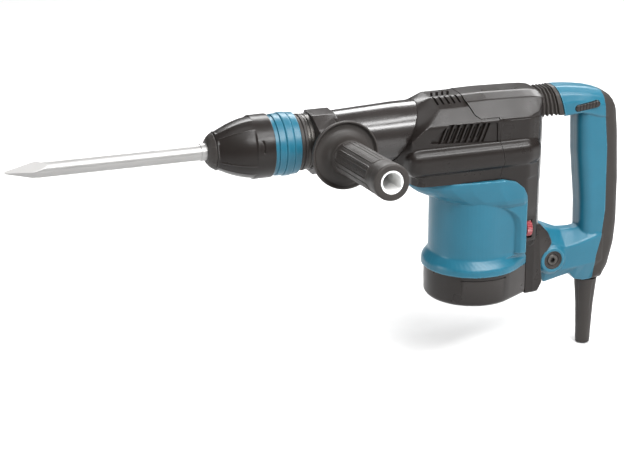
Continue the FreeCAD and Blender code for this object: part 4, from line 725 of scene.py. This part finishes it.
def motor_outer(name, gap=0):
    """The blue casing's outer form: drum, skirt, shelf with its prow, and rounded rear corner."""
    back = BLUE_BACK + gap
    low_back = SKIRT_BACK + gap
    levels = [(-60, 47.3, back, 39), (-90, 47.3, back, 39), (-133, 47.2, back, 39),
              (-138.5, 47.5, back + 2, 37.5), (-140.5, 48.6, back + 5, 33), (-147.5, 53.4, low_back, 29.5),
              (-149.5, 54.2, low_back, 29), (MOTOR_LOW.z, 54.8, low_back, 28.5)]
    drum = stacked("drum", [[(x, y, z) for x, y in motor_plan(r + gap, rear, w + gap)]
                            for z, r, rear, w in levels])
    front = 219.7
    half = [(front, 13, 4), (225, 21.5, 6), (233.6, 30.5, 12), (243, 38.5, 14), (256, 44, 18),
            (276, 47.8, 30), (307, 50.5, 20), (335, 49, 8), (back, 46.6, 0)]
    plan = fillet(mirrored(half), 5)
    fronts = [(-50.3 + gap, 219, 1), (-56, 218.2, 1), (-60.5, 222.5, 1), (-65, 229, 1),
              (-69, 237, 1), (-73, 246, 1), (-77.5, 256, 0.985), (-80.5, 264, 0.955), (-83.5, 274, 0.90)]
    rings = []
    for z, nose, scale in fronts:
        stretch = (back - nose + gap) / (back - front)
        rings.append([(back - (back - x) * stretch, y * scale * (1 + gap / 48), z) for x, y in plan])
    shelf = stacked("shelf", rings)
    widening = [(-136, 0), (-108, 0), (-101, 1), (-96, 3), (-91.5, 6.5), (-87.5, 11.5), (-84.5, 17),
                (-82, 23), (-60, 23)]
    rings = []
    for z, ahead in widening:
        half = [(325 - ahead, 36, 0), (330.5 - ahead, 43.5, 3), (336 - ahead, 46.6, 5), (back, 46, 0)]
        rings.append([(x, y, z) for x, y in fillet(mirrored(half), 6)])
    band = stacked("band", rings)
    outer = moulded(name, [drum, shelf, band], 0.9, 2)
    corner = [(300, -40), (300, -50.2 + gap), (312, -50.4 + gap), (326.7, -54 + gap),
              (335.5 + gap, -61.5), (340 + gap, -70), (back + 0.3, -80), (360, -80), (360, -40)]
    smooth = fillet([(x, z, 9) for x, z in corner], 5)
    return cut(outer, slab("corner", smooth, -CLEAR, CLEAR, "Y"))


def motor_casing():
    """The blue housing round the motor, cut off at its ends and hollowed for what it holds."""
    outer = motor_outer("motor_casing")
    behind = box_block("behind", (BLUE_BACK, -CLEAR, -136), (400, CLEAR, -40))
    under = box_block("under", (200, -CLEAR, -175), (400, CLEAR, MOTOR_LOW.z))
    over = box_block("over", (200, -CLEAR, MOTOR_HIGH.z), (400, CLEAR, -30))
    cut(outer, behind, under, over)
    bore = slab("bore", motor_plan(45.4, 346, 30), -160, -76, "Z")
    half = [(228, 8, 0), (236, 21, 0), (246, 32, 0), (262, 40, 0), (300, 45.2, 0), (360, 44, 0)]
    way = plan_block("way", half, -59, -40)
    neck = slab("neck", motor_plan(43, 360, 41), -80, -58, "Z")
    cut(outer, bore, way, neck)
    finish(outer, "housing", "teal_plastic", "motor_housing", sharp=45)


def foot():
    """The black base: a round front running back, a rolled bottom edge and a long thin groove."""
    top, low, rear = FOOT_HIGH.z - 0.2, FOOT_LOW.z, SKIRT_BACK
    radius, half, edge = 51.2, 28.5, 6
    turns = [math.pi / 2 * i / 6 for i in range(7)]
    rings = [(low + edge * (1 - math.cos(t)), radius - edge * (1 - math.sin(t))) for t in turns]
    rings = [(z, r, half - (radius - r)) for z, r in rings]
    rings += [(top - 3, radius + 0.4, half), (top, radius + 0.4, half)]
    body = stacked("foot", [[(x, y, z) for x, y in motor_plan(r, rear, w, 90)] for z, r, w in rings])
    hollow = slab("hollow", motor_plan(47.5, rear - 3, half - 4), low + 5, top + 2, "Z")
    cut(body, hollow)
    for side in (-1, 1):
        band = slab("band", motor_plan(55, 360, 40), top - 5, top - 3.6, "Z")
        keep = slab("keep", motor_plan(50.9, 360, 25.5), top - 6, top - 2, "Z")
        cut(band, keep)
        near, far = sorted((0, side * CLEAR))
        cut(band, box_block("stretch", (268, near, top - 7), (318, far, top)), operation="INTERSECT")
        cut(body, band)
    for x, y in screw_spots("base_screws"):
        cut(body, drill(5, 0, 3.6, along_axis((x, y, low - 1), (0, 0, 1)), 32))
    post = turned("post", rounded_profile([(1, 0, 0), (1, 14.5, 0), (20, 14.5, 1), (20, 11.1, 0.3),
                                           (11.9, 11.1, 0), (11.9, 6, 0), (9, 6, 0), (9, 0, 0)]),
                  along_axis((MOTOR_AXIS.x, 0, low), (0, 0, 1)), 64)
    finish(joined("foot", [body, post]), "housing", "black_plastic", "base_cover", sharp=32)


def screw_spots(node):
    """The plan centres of a group of upright screws, one for each loose island of its mesh."""
    work = bmesh.new()
    work.from_mesh(frame["nodes"][node].data)
    bmesh.ops.remove_doubles(work, verts=work.verts, dist=1e-6)
    left, spots = set(work.verts), []
    while left:
        stack, island = [left.pop()], []
        while stack:
            vert = stack.pop()
            island.append(vert.co.copy())
            for edge in vert.link_edges:
                other = edge.other_vert(vert)
                if other in left:
                    left.remove(other)
                    stack.append(other)
        spots.append([(min(c[k] for c in island) + max(c[k] for c in island)) / 2 / MM for k in range(2)])
    work.free()
    return sorted(spots)


def crank_casings():
    """The outer form that the main housing and the rear cover share, and that of the top cover."""
    back = COLUMN_BACK
    wall = [(214, 30, 6), (219, 42.5, 8), (236, 43.8, 20), (342, 45.4, 12), (357, 36.8, 9), (back, 23, 6)]
    rear = [(320, SIDE, 0), (347, 40.5, 12), (358, 35.5, 9), (back, 24, 7)]
    column = [(LEG_FRONT, 41, 0), (357, 36.5, 9), (back, 23, 7)]
    leg = [(LEG_FRONT, 31, 0), (349, 28.9, 8), (360, 28, 4), (back, 27.4, 3)]
    chin = fillet(mirrored([(LEG_FRONT, 41, 0), (357, 36.5, 6), (back, 23, 6)]), 5)
    chin_rings = [[(x, y * s, z) for x, y in chin] for z, s in ((-124, 1), (-131, 0.86), (-136, 0.76))]
    corner_rings = []
    for z, wide in ((-98, 41.3), (-88, 45.2), (-36.5, 45.2)):
        corner = mirrored([(318, wide, 0), (340, wide, 12), (357, 36.6, 9), (back, 23, 6)])
        corner_rings.append([(x, y, z) for x, y in fillet(corner, 5)])
    body = moulded("main_casing", [
        nose_block(UPPER_SECTION, 320), bulge_block("bulge", 204, 364),
        plan_block("wall", wall, -52, -38), plan_block("upper", rear_plan(SIDE, COVER_END), -48, 13),
        plan_block("back", rear, -60, 13.4), plan_block("column", column, -126, -50),
        stacked("chin", chin_rings), plan_block("leg", leg, FOOT_LOW.z, -122, 1.2),
        stacked("corner", corner_rings)], 0.9, 5)
    drops = ((262, 0.6), (300, 0), (330, 0.9), (345, 1.3), (355, 2), (362, 3.4), (COVER_END, 5.4))
    outline = fillet(ROOF_SECTION, 5)
    lid = stacked("lid", [[(x, y, z - drop * max(0, z / 41)) for y, z in outline] for x, drop in drops])
    limit = plan_block("limit", [(250, SIDE, 0)] + rear_plan(SIDE, COVER_END)[1:], -10, 60)
    cut(lid, limit, operation="INTERSECT")
    lid = moulded("top_cover_lid", [lid], 0.8, 4)
    return body, lid


def hollow_of_casing():
    """The space inside the crank casing, a few millimetres in from its skin."""
    section = half_to_full([(11, 33.6, 0), (24, 25.5, 0), (SIDE - 8, 10, 0), (SIDE - 8, -18, 0),
                            (34, -37, 0)])
    rings = []
    for x, scale in ((226, 0.72), (248, 1), (345, 1)):
        rings.append([(x, y * scale, z * scale if z > 0 else z) for y, z, _ in section])
    lower = [(229, 14, 0), (237, 25, 0), (247, 33, 0), (258, 37.5, 0), (339, 37.5, 0)]
    return [stacked("hollow", rings), plan_block("hollow", lower, -56, -14)]


def main_and_covers():
    """The black casings: the main housing, the rear cover behind it and the cover on top."""
    body, lid = crank_casings()
    rear = copy_of(body, "rear_casing")
    cut(body, roof_cutter(SEAM_GAP), rear_cutter(SEAM_GAP))
    below = box_block("below", (180, -CLEAR, -120), (330, CLEAR, MOTOR_HIGH.z + 0.25))
    cut(body, below, *hollow_of_casing(), drill(32.6, 184, 235, TOOL_AXIS))
    for side in (-1, 1):
        cut(body, louvre_recess(side), *louvre_slots(side))
    cut(body, *top_vent_cutters())
    finish(body, "housing", "black_plastic", "main_housing", sharp=40)
    rear_cover_piece(rear)
    cut(lid, roof_cutter(0), operation="INTERSECT")
    section = half_to_full([(11, 33.8, 0), (22.5, 29, 0), (SIDE - 3.2, 12, 0), (SIDE - 3.2, 0, 0)])
    rings = []
    for x, wide, tall in ((262, 1, 1), (340, 0.95, 1), (361, 0.62, 0.88)):
        rings.append([(x, y * wide, z * tall) for y, z, _ in section])
    cut(lid, stacked("hollow", rings))
    finish(lid, "housing", "black_plastic", "top_cover", sharp=40)


def rear_cover_piece(rear):
    """The rear cover: its part of the casing, the column, the flares over the handle arm, the lug."""
    cut(rear, rear_cutter(0), operation="INTERSECT")
    under_roof, base_top = SEAM_HEIGHT - 0.3, MOTOR_LOW.z + 2
    cut(rear, box_block("roof", (300, -CLEAR, under_roof), (380, CLEAR, 60)))
    cut(rear, motor_outer("blue_room", 0.35))
    cut(rear, box_block("front_of_leg", (300, -CLEAR, -200), (LEG_FRONT, CLEAR, -79.5)))
    cut(rear, box_block("base_room", (300, -CLEAR, -200), (SKIRT_BACK + SEAM_GAP, CLEAR, base_top)))
    upper = plan_block("hollow", [(300, -36, 0), (344, -36, 0), (355, -31, 0), (361, -20, 0)], -48, 20)
    way = plan_block("hollow", [(325, -37, 0), (348, -36, 0), (356, -31, 0), (362, -20, 0)], -120, -44)
    lower = plan_block("hollow", [(338, -26, 0), (356, -24, 0), (364, -18, 0)], FOOT_LOW.z + 4, -118)
    dial_room = box_block("room", (DIAL.x - 3.9, -60, DIAL.z - 10.2), (DIAL.x + 3.9, -30, DIAL.z + 10.2))
    cut(rear, upper, way, lower, dial_room)
    parts = [rear]
    outline = fillet([(355, -111, 0), (366, -112, 5), (376.5, -123.5, 14), (382.3, -136, 8),
                      (375, -147, 6), (369.2, -160, 5), (370.8, -176, 3), (370.8, -181, 2),
                      (366, -190.3, 1.5), (355, -190.3, 0)], 6)
    for side in (-1, 1):
        flare = side_slab("flare", outline, side, 22.5, 28, 1.4, 4)
        arm_room = box_block("room", (369.3, -24.7, -200), (400, 24.7, -100))
        parts.append(cut(flare, arm_room, drill(15.2, -1, 70, pivot_axis(-35), 64)))
    reach = 11
    low, high, end = PIVOT.z - reach, PIVOT.z + reach, PIVOT.x + reach
    outline = fillet([(360, low, 0), (end, low, reach - 0.1), (end, high, reach - 0.1), (360, high, 0)], 8)
    lug = slab("lug", outline, -12.4, 12.4, "Y", 0.8, 3)
    parts.append(cut(lug, drill(5.05, -1, 40, pivot_axis(-16), 48)))
    finish(joined("rear_casing", parts), "housing", "black_plastic", "rear_cover", sharp=40)


# ---- rear handle
def split_region(gap):
    """The region of the soft back: behind a gently curved line down the grip."""
    line = [(441.4, 60, 0), (441.4, 27.5, 4), (448, -38, 60), (449.5, -109, 30), (446.4, -139, 20),
            (439.6, -163, 15), (437, -215, 0), (500, -215, 0), (500, 60, 0)]
    return slab("split", inset(fillet(line, 8), -gap), -40, 40, "Y")


def arched(name, stations, corners):
    """A limb lofted along X; each station gives x and the arguments of its right-half section."""
    rings = []
    for x, *sizes in stations:
        rings.append([(x, y, z) for y, z in fillet(half_to_full(corners(*sizes)), 5)])
    return stacked(name, rings)


def handle_blocks():
    """The handle's limbs: the arch behind the boot, the grip, and the arm that carries the pivot."""
    def limb_half(top, low, wide):
        return [(wide * 0.4, top, 8), (wide * 0.82, top - 5.6 * wide / 21, 8),
                (wide, (top + low) / 2, 5), (wide, low, 3)]

    def arm_half(crown, top, upper, lower, bottom, wide):
        return [(crown, top, 5), (wide, upper, 4), (wide, lower, 4), (wide - 7, bottom, 2)]

    limb = arched("limb", [
        (372, 34.3, 3, 21.4), (392, 34.3, 3, 21.4), (403, 33.6, 4, 21.3), (414, 32.2, 4.6, 21),
        (426, 30.3, 2, 20.4), (437, 27.2, -2, 19.5), (446, 23.6, -4, 18.4), (453, 18.6, -4, 17),
        (458, 12, -4, 14.5)], limb_half)
    outline = fillet([
        (414.5, 20, 0), (415, -10, 60), (416.5, -42, 60), (422.5, -100, 40), (423.5, -132, 0),
        (423.5, -150, 0), (434, -191, 0), (451.5, -191, 3), (459.5, -176, 20), (465.6, -150, 40),
        (467.4, -125, 60), (466.6, -75, 80), (463.4, -20, 60), (460.4, 5, 20), (455, 17, 8),
        (440, 20, 0)], 5)
    grip = slab("grip", outline, -17.8, 17.8, "Y", 11.5, 7)
    arm = arched("arm", [
        (370.5, 20, -119.5, -130, -165, -172, 23.9),
        (378.5, 18, -121.3, -134, -170, -185.6, 23.9),
        (385, 14.5, -124.4, -138, -170.5, -184.2, 23.9),
        (392, 11, -127, -142, -170.6, -182.6, 23.8),
        (400, 7, -129.8, -145.2, -170.8, -181, 23.5),
        (410, 6.5, -130.4, -144, -170.2, -179.2, 22.9),
        (417, 6.5, -130.6, -142.7, -169.6, -187.6, 22.3),
        (428, 6.5, -128.5, -140.2, -168.6, -190.8, 21.2),
        (438, 7, -122, -138.4, -167.8, -190.8, 20.2),
        (448, 7, -116, -136.8, -167, -190.8, 18.4)], arm_half)
    profile = [(19, 0), (19, 18.5), (23.5, 16.8), (26.4, 14.2), (27.3, 13.3), (27.3, 0)]
    cheeks = [turned("cheek", profile, pivot_axis(0, side)) for side in (-1, 1)]
    return [limb, grip, arm] + cheeks


def lever_outline(grow):
    """The slanted slot of the switch lever: a stadium in the side view."""
    low, high, radius = Vector((409.2, 11.3)), Vector((431.6, 13.9)), 3.6 + grow
    along = (high - low).normalized()
    points = []
    for centre, start in ((high, -90), (low, 90)):
        for i in range(13):
            angle = math.atan2(along.y, along.x) + math.radians(start + 180 * i / 12)
            points.append((centre.x + radius * math.cos(angle), centre.y + radius * math.sin(angle)))
    return points


def handle():
    """One outer form for the D-handle, then its soft back and its two hollow shells."""
    whole = moulded("handle", handle_blocks(), 0.85, 2)
    front = [(BELLOWS_HIGH.x + 0.4 + BOOT_LEAN * (BOOT_MIDDLE - z), z) for z in (-10, 60)]
    front += [(350, 60), (350, -10)]
    cut(whole, slab("front", front, -40, 40, "Y"))
    pad_piece = copy_of(whole, "handle_pad_rubber")
    cut(pad_piece, split_region(0), operation="INTERSECT")
    neck_axis = along_axis((GUARD_HIGH.x - 8, 0, -200), (0, 0, 1))
    cut(pad_piece, drill(8.3, -1, 20, neck_axis, 48))
    finish(pad_piece, "rear_handle", "black_rubber", "handle_pad", sharp=40)
    cut(whole, split_region(0.25), drill(8.3, -1, 20, neck_axis, 48))
    fork = box_block("fork", (360, -12.8, -200), (398, 12.8, PIVOT.z + 12.5))
    inside = slab("hollow", [(394, 8), (396, 26), (428, 23), (438, 18), (444, 12), (448, -20), (450, -60),
                             (450, -125), (446, -150), (438, -180), (420, -180), (404, -172), (404, -141),
                             (430, -141), (435, -128), (431, -108), (424, -50), (422, -5), (418, 8)],
                  -11.5, 11.5, "Y")
    slot = slab("slot", lever_outline(0.5), -30, 30, "Y")
    spring_low, spring_high = span("damper_spring")
    spring_axis = along_axis((spring_high.x, 0, (spring_low.z + spring_high.z) / 2), (1, 0, 0))
    seat = drill(9.1, -4, 7, spring_axis, 64)
    cut(whole, fork, drill(10.7, -1, 80, pivot_axis(-35)), inside, slot, seat)
    half_gap = 0.06
    for where, side in (("left", -1), ("right", 1)):
        shell = copy_of(whole, "handle_shell_" + where)
        near, far = sorted((side * half_gap, side * CLEAR))
        cut(shell, box_block("side", (350, near, -240), (520, far, 80)), operation="INTERSECT")
        if side > 0:
            profile = [(0, 0), (0, 2.3), (3.9, 2.3), (3.9, 4.9), (20, 4.9), (20, 0)]
            for x, z in HANDLE_SCREWS:
                cut(shell, turned("well", profile, along_axis((x, 12, z), (0, 1, 0)), 40))
        finish(shell, "rear_handle", "teal_plastic", "handle_" + where, sharp=40)
    bpy.data.objects.remove(whole)


def screw(at, way, head, height, shank, length):
    """A pan-head screw with a six-lobed socket; distances run from the top of the head inwards."""
    socket, depth = head * 0.5, height * 0.7
    profile = [(depth, 0), (depth, socket), (0.25, socket), (0, socket + 0.25), (0, head - 0.7),
               (0.25, head - 0.2), (0.8, head), (height, head), (height, shank)]
    pitch = 0.8
    for i in range(int((length - height) / pitch)):
        profile.append((height + pitch * (i + 0.5), shank if i % 2 else shank * 0.88))
    profile.append((length, 0))

    def lobes(distance, angle, radius):
        if abs(radius - socket) < 1e-6 and distance <= depth:
            return radius * (1 + 0.13 * math.cos(6 * angle))
        return radius
    return turned("screw", profile, along_axis(at, way), 72, False, lobes)


def fasteners():
    """The four screws of the base and the three of the handle."""
    base = [screw((x, y, FOOT_LOW.z + 0.6), (0, 0, 1), 4.5, 2.5, 2.5, 22)
            for x, y in screw_spots("base_screws")]
    finish(joined("base_screw_set", base), "housing", "dark_steel", "base_screws", sharp=30)
    sides = [screw((x, 17, z), (0, -1, 0), 4.4, 2.4, 2, 26) for x, z in HANDLE_SCREWS]
    finish(joined("handle_screw_set", sides), "rear_handle", "dark_steel", "handle_screws", sharp=30)


def pivot():
    """The pivot bolt with a hexagon socket, and the ribbed rubber bushings round it."""
    reach, head, socket = 26.4, 6, 2.9

    def hexagon(distance, angle, radius):
        if abs(radius - socket) < 1e-6:
            off = math.radians(angle_from(angle, 0, 60))
            return radius * math.cos(math.pi / 6) / math.cos(off)
        return radius
    pin = [(0, 0), (0, 5), (reach - 2.2, 5), (reach - 2.2, head), (reach - 0.9, head),
           (reach - 0.3, head - 0.5), (reach - 0.3, 3.6), (reach - 0.7, socket), (reach - 3.4, socket),
           (reach - 3.4, 0)]
    rubber = rounded_profile([
        (13, 5.1, 0.1), (13, 9.9, 0.3), (20, 10.6, 1), (26.7, 10.6, 0.5), (26.7, 9.2, 0.3),
        (25.9, 8.8, 0.3), (25.9, 7.4, 0.3), (25, 7, 0.2), (25, 5.1, 0.1)], 3)
    ends, rings = [], []
    for side in (-1, 1):
        put = pivot_axis(0, side)
        ends.append(turned("pin", pin, put, 72, False, hexagon))
        rings.append(turned("ring", rubber, put, 96, True))
    finish(joined("pivot_bolt", ends), "housing", "dark_steel", "pivot_pin", sharp=30)
    finish(joined("pivot_rubbers", rings), "rear_handle", "black_rubber", "pivot_bushings")


def lever():
    """The slide lever of the switch, ribbed across where the thumb pushes."""
    low, high = span("switch_lever")
    bar = slab("switch_lever_bar", lever_outline(-0.15), low.y, high.y, "Y", 1, 4)
    pitch, rise = 3.6, 0.116
    for i in range(6):
        x, z = 411 + pitch * i, 11.5 + pitch * i * rise
        groove = [(x - 0.5, z - 5), (x + 0.5, z - 5), (x + 0.9, z + 5), (x - 0.1, z + 5)]
        cut(bar, slab("groove", groove, low.y - 1, low.y + 0.7, "Y"))
    finish(bar, "switch_lever", "black_plastic", "switch_lever", sharp=30)


def boot():
    """The bellows between the casing and the handle: an arch with four rolls and a thick leaning rim."""
    arch = fillet(half_to_full([(8.5, 34.6, 8), (17.2, 28.6, 8), (20.9, 18, 6), (20.9, 4.6, 3)]), 7)
    low, high, rim = BELLOWS_LOW.x, BELLOWS_HIGH.x, 5.6
    rolls, depth_middle, depth_swing, wall = 4, 1.5, 1.25, 1.8
    outer, steps = [], 66
    for i in range(steps + 1):
        x = low + (high - low) * i / steps
        if x > high - rim:
            depth = 0.15 + 0.9 * (1 - bell(x, high - rim / 2, rim / 2 - 0.7, 0.6))
        else:
            wave = math.cos(2 * math.pi * (x - low) / ((high - low - rim) / rolls))
            depth = depth_middle + depth_swing * wave
        outer.append((x, depth))
    inner = [(x, depth + wall) for x, depth in outer]
    rings = []
    for x, depth in outer + inner[::-1]:
        lean = BOOT_LEAN * (x - low) / (high - low)
        rings.append([(x + lean * (BOOT_MIDDLE - z), y, z) for y, z in inset(arch, depth)])
    piece = stacked("bellows_boot", rings, True)
    smooth_shaded(piece, 50)
    piece.data.materials.append(FINISH["black_rubber"])
    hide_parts("bellows")
    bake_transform(piece)


def guard():
    """The bend protector under the handle, tapered, with a slight waist at its knee."""
    x, top = GUARD_HIGH.x - 12, -192
    profile = rounded_profile([
        (GUARD_LOW.z, 4.2, 0.4), (GUARD_LOW.z, 8, 1), (-246, 8.9, 30), (-223, 9.9, 12),
        (-199, 12.1, 6), (top, 12.7, 0.6), (top, 8, 0.2), (GUARD_HIGH.z, 8, 0.3),
        (GUARD_HIGH.z, 4.2, 0.3)], 6, 1.2)

    def shape(z, angle, radius):
        flute = bell(angle_from(angle, 20, 90), 0, 4, 5) * bell(z, -212, 12, 8)
        return radius - 0.35 * flute if radius > 8.4 else radius
    piece = turned("cord_guard_boot", profile, along_axis((x, 0, 0), (0, 0, 1)), 144, True, shape)
    finish(piece, "rear_handle", "black_rubber", "cord_guard")


# ---- side grip
def side_grip():
    """The guard disc, the rubber sleeve with six knurled fields, and the liner at its open end."""
    dish = rounded_profile([
        (50.6, 12.7, 0.2), (50.6, 16.5, 1), (58, 18.5, 6), (70, 30.5, 8), (74.5, 34.3, 2),
        (77, 35, 1.2), (80, 34.9, 0.9), (80, 33.2, 0.9), (76.6, 31.2, 2.5), (76.6, 25.5, 9),
        (82, 19, 12), (89.6, 17.3, 0.5), (89.6, 12.7, 0.1)], 6, 0.9)
    finish(turned("hand_guard_disc", dish, GRIP_AXIS, 180, True), "side_grip", "black_rubber",
           "grip_flange")
    start, bead, end = 90, 191, GRIP_LENGTH
    inner, bore, tube = 12.65, 11.5, 9
    profile = [(start, inner), (start, 17.1)]
    stations = int((bead - start) / 0.8)
    for i in range(1, stations):
        profile.append((start + (bead - start) * i / stations, 17))
    profile += fillet([(bead, 17, 0.5), (bead + 0.8, 18.1, 1), (end - 0.2, 18.2, 2.2),
                       (end, bore, 0.5)], 5)
    profile += [(end - 8, bore), (end - 12, inner)]
    pad_low, pad_high, pad_half, pad_height = 94, 180, 22, 0.75
    knurl_along, knurl_across, knurl_height, rib_half = 2.3, 3.8, 0.45, 1.9

    def shape(d, angle, radius):
        if radius < 16 or not start + 0.5 < d < bead:
            return radius
        off = angle_from(angle, 12, 60)
        arc = math.radians(off) * radius
        half = math.radians(pad_half) * radius
        corner = min(4, half)
        dx = max(0, abs(d - (pad_low + pad_high) / 2) - (pad_high - pad_low) / 2 + corner)
        dy = max(0, abs(arc) - half + corner)
        edge = math.hypot(dx, dy) - corner
        radius += pad_height * bell(edge, -0.2, 0.35, 0.5)
        if edge < -1.2:
            along, across = d * knurl_along, arc * knurl_across
            knurl = math.sin(along + across) * math.sin(along - across)
            radius += knurl_height * max(0, knurl) if abs(arc) > rib_half else -0.4
        return radius
    sleeve = turned("grip_rubber", profile, GRIP_AXIS, 300, True, shape)
    finish(sleeve, "side_grip", "black_rubber", "grip_sleeve", sharp=60)
    liner = rounded_profile([
        (50.6, tube, 0.1), (50.6, 12.5, 0.1), (end - 12, 12.5, 0.1), (end - 8, 11.4, 0.1),
        (end - 0.1, 11.4, 0.4), (end - 0.1, 9.9, 0.5), (end - 1.6, 9.05, 0.4), (120, tube, 0.1),
        (120, 0.2, 0), (116, 0.2, 0), (116, tube, 0.1)], 4, 3)

    def notch(d, angle, radius):
        inside = 8.5 < radius < 9.6 and d > 150
        return 10.6 if inside and abs(angle_from(angle, 238)) < 9 else radius
    finish(turned("grip_tube", liner, GRIP_AXIS, 180, True, notch), "side_grip", "white_plastic",
           "grip_liner")


def saddle():
    """The clamp's saddle: a flat crown, angular shoulders, and the socket of the grip on its near side."""
    low, high = span("grip_saddle")
    outline = fillet([(12, 30.7, 3), (-13, 30.7, 3), (-33, 21.5, 5), (-47.5, 17, 3), (-47.5, -9, 3),
                      (-33, -21, 5), (-14, -32.4, 4), (14, -32.4, 3), (14, -26, 0), (14, 26, 0)], 5)
    block = slab("saddle_block", outline, low.x, high.x, "X", 1, 3)
    ring_room = drill(29.7, low.x - 4, low.x + 37, TOOL_AXIS, 120)
    shoulder = [(high.x - 7, 40), (high.x + 5, 40), (high.x + 5, 8), (high.x + 0.5, 8)]
    cut(block, ring_room, drill(7, 20, 60, GRIP_AXIS, 48), slab("shoulder", shoulder, -60, -20, "Y"))
    finish(block, "grip_clamp", "black_plastic", "grip_saddle", sharp=30)


def dial():
    """The speed wheel with a ribbed rim."""
    put = along_axis(DIAL, (1, 0, 0))
    half, bore, rim, rib_count = 3.1, 2, 9.3, 30
    profile = rounded_profile([
        (-half, bore, 0.2), (-half, rim, 0.6), (half, rim, 0.6), (half, bore, 0.2)], 3)

    def ribs(distance, angle, radius):
        if radius > 8:
            return radius + 0.45 * math.cos(rib_count * angle) - 0.35
        return radius
    finish(turned("dial_wheel", profile, put, 240, True, ribs), "speed_dial", "red_plastic", "speed_dial")


# ---- studio
def area_light(name, at, aim, power, width, height):
    """A rectangular light at a place, turned to what it lights, in metres and watts."""
    lamp = bpy.data.lights.new(name, "AREA")
    lamp.shape = "RECTANGLE"
    lamp.size = width
    lamp.size_y = height
    lamp.energy = power
    obj = placed(name, lamp)
    obj.location = at
    obj.rotation_euler = (Vector(aim) - Vector(at)).to_track_quat("-Z", "Y").to_euler()


def studio():
    """A pale floor, strip lights over the tool, a soft sky and a white world. Places are in metres."""
    far = 6000
    floor = new_object("floor", [(-far, -far, 0), (far, -far, 0), (far, far, 0), (-far, far, 0)],
                       [(0, 1, 2, 3)])
    floor.location.z = CAD_BOX[0][2] - 0.001
    pale = material("pale_floor", (0.6, 0.6, 0.6), 0.8, grain=0.05, grain_size=3, variation=0.01)
    floor.data.materials.append(pale)
    middle = (0.25, 0, -0.06)
    area_light("key", (0.75, -1.35, 1.15), middle, 50, 2.2, 0.3)
    area_light("top", (0.84, -0.80, 1.54), middle, 26, 1.8, 0.3)
    area_light("back", (0.8, 1.25, 1.2), middle, 55, 2.2, 0.6)
    area_light("left", (-1.35, 0.1, 0), (0.25, 0, -0.1), 9, 0.22, 1)
    sun = placed("sky", bpy.data.lights.new("sky", "SUN"))
    sun.data.energy = 1.5
    sun.data.angle = math.radians(50)
    sun.rotation_euler = (math.radians(18), math.radians(-8), 0)
    world = bpy.data.worlds.new("studio")
    world.use_nodes = True
    sky = world.node_tree.nodes["Background"]
    sky.inputs["Color"].default_value = (1, 1, 1, 1)
    sky.inputs["Strength"].default_value = 0.15
    bpy.context.scene.world = world
    bpy.context.scene.view_settings.view_transform = "Standard"


def camera():
    """A long lens from the front left, above the tool."""
    azimuth, elevation = math.radians(-19.5), math.radians(20)
    level = math.cos(elevation)
    back = Vector((math.sin(azimuth) * level, -math.cos(azimuth) * level, math.sin(elevation)))
    lens = bpy.data.cameras.new("camera")
    lens.sensor_width = 36
    lens.lens = 115.385
    lens.clip_end = 20
    eye = placed("camera", lens)
    eye.location = Vector((-544.05, -1860.25, 619.85)) * MM
    eye.rotation_euler = back.to_track_quat("Z", "Y").to_euler()
    bpy.context.scene.camera = eye


# ---- everything
dress_cad_nodes()
chuck_cover()
dust_cap()
angle_ring()
bull_point()
barrel()
main_and_covers()
motor_casing()
foot()
handle()
fasteners()
pivot()
lever()
boot()
guard()
side_grip()
saddle()
dial()
studio()
camera()
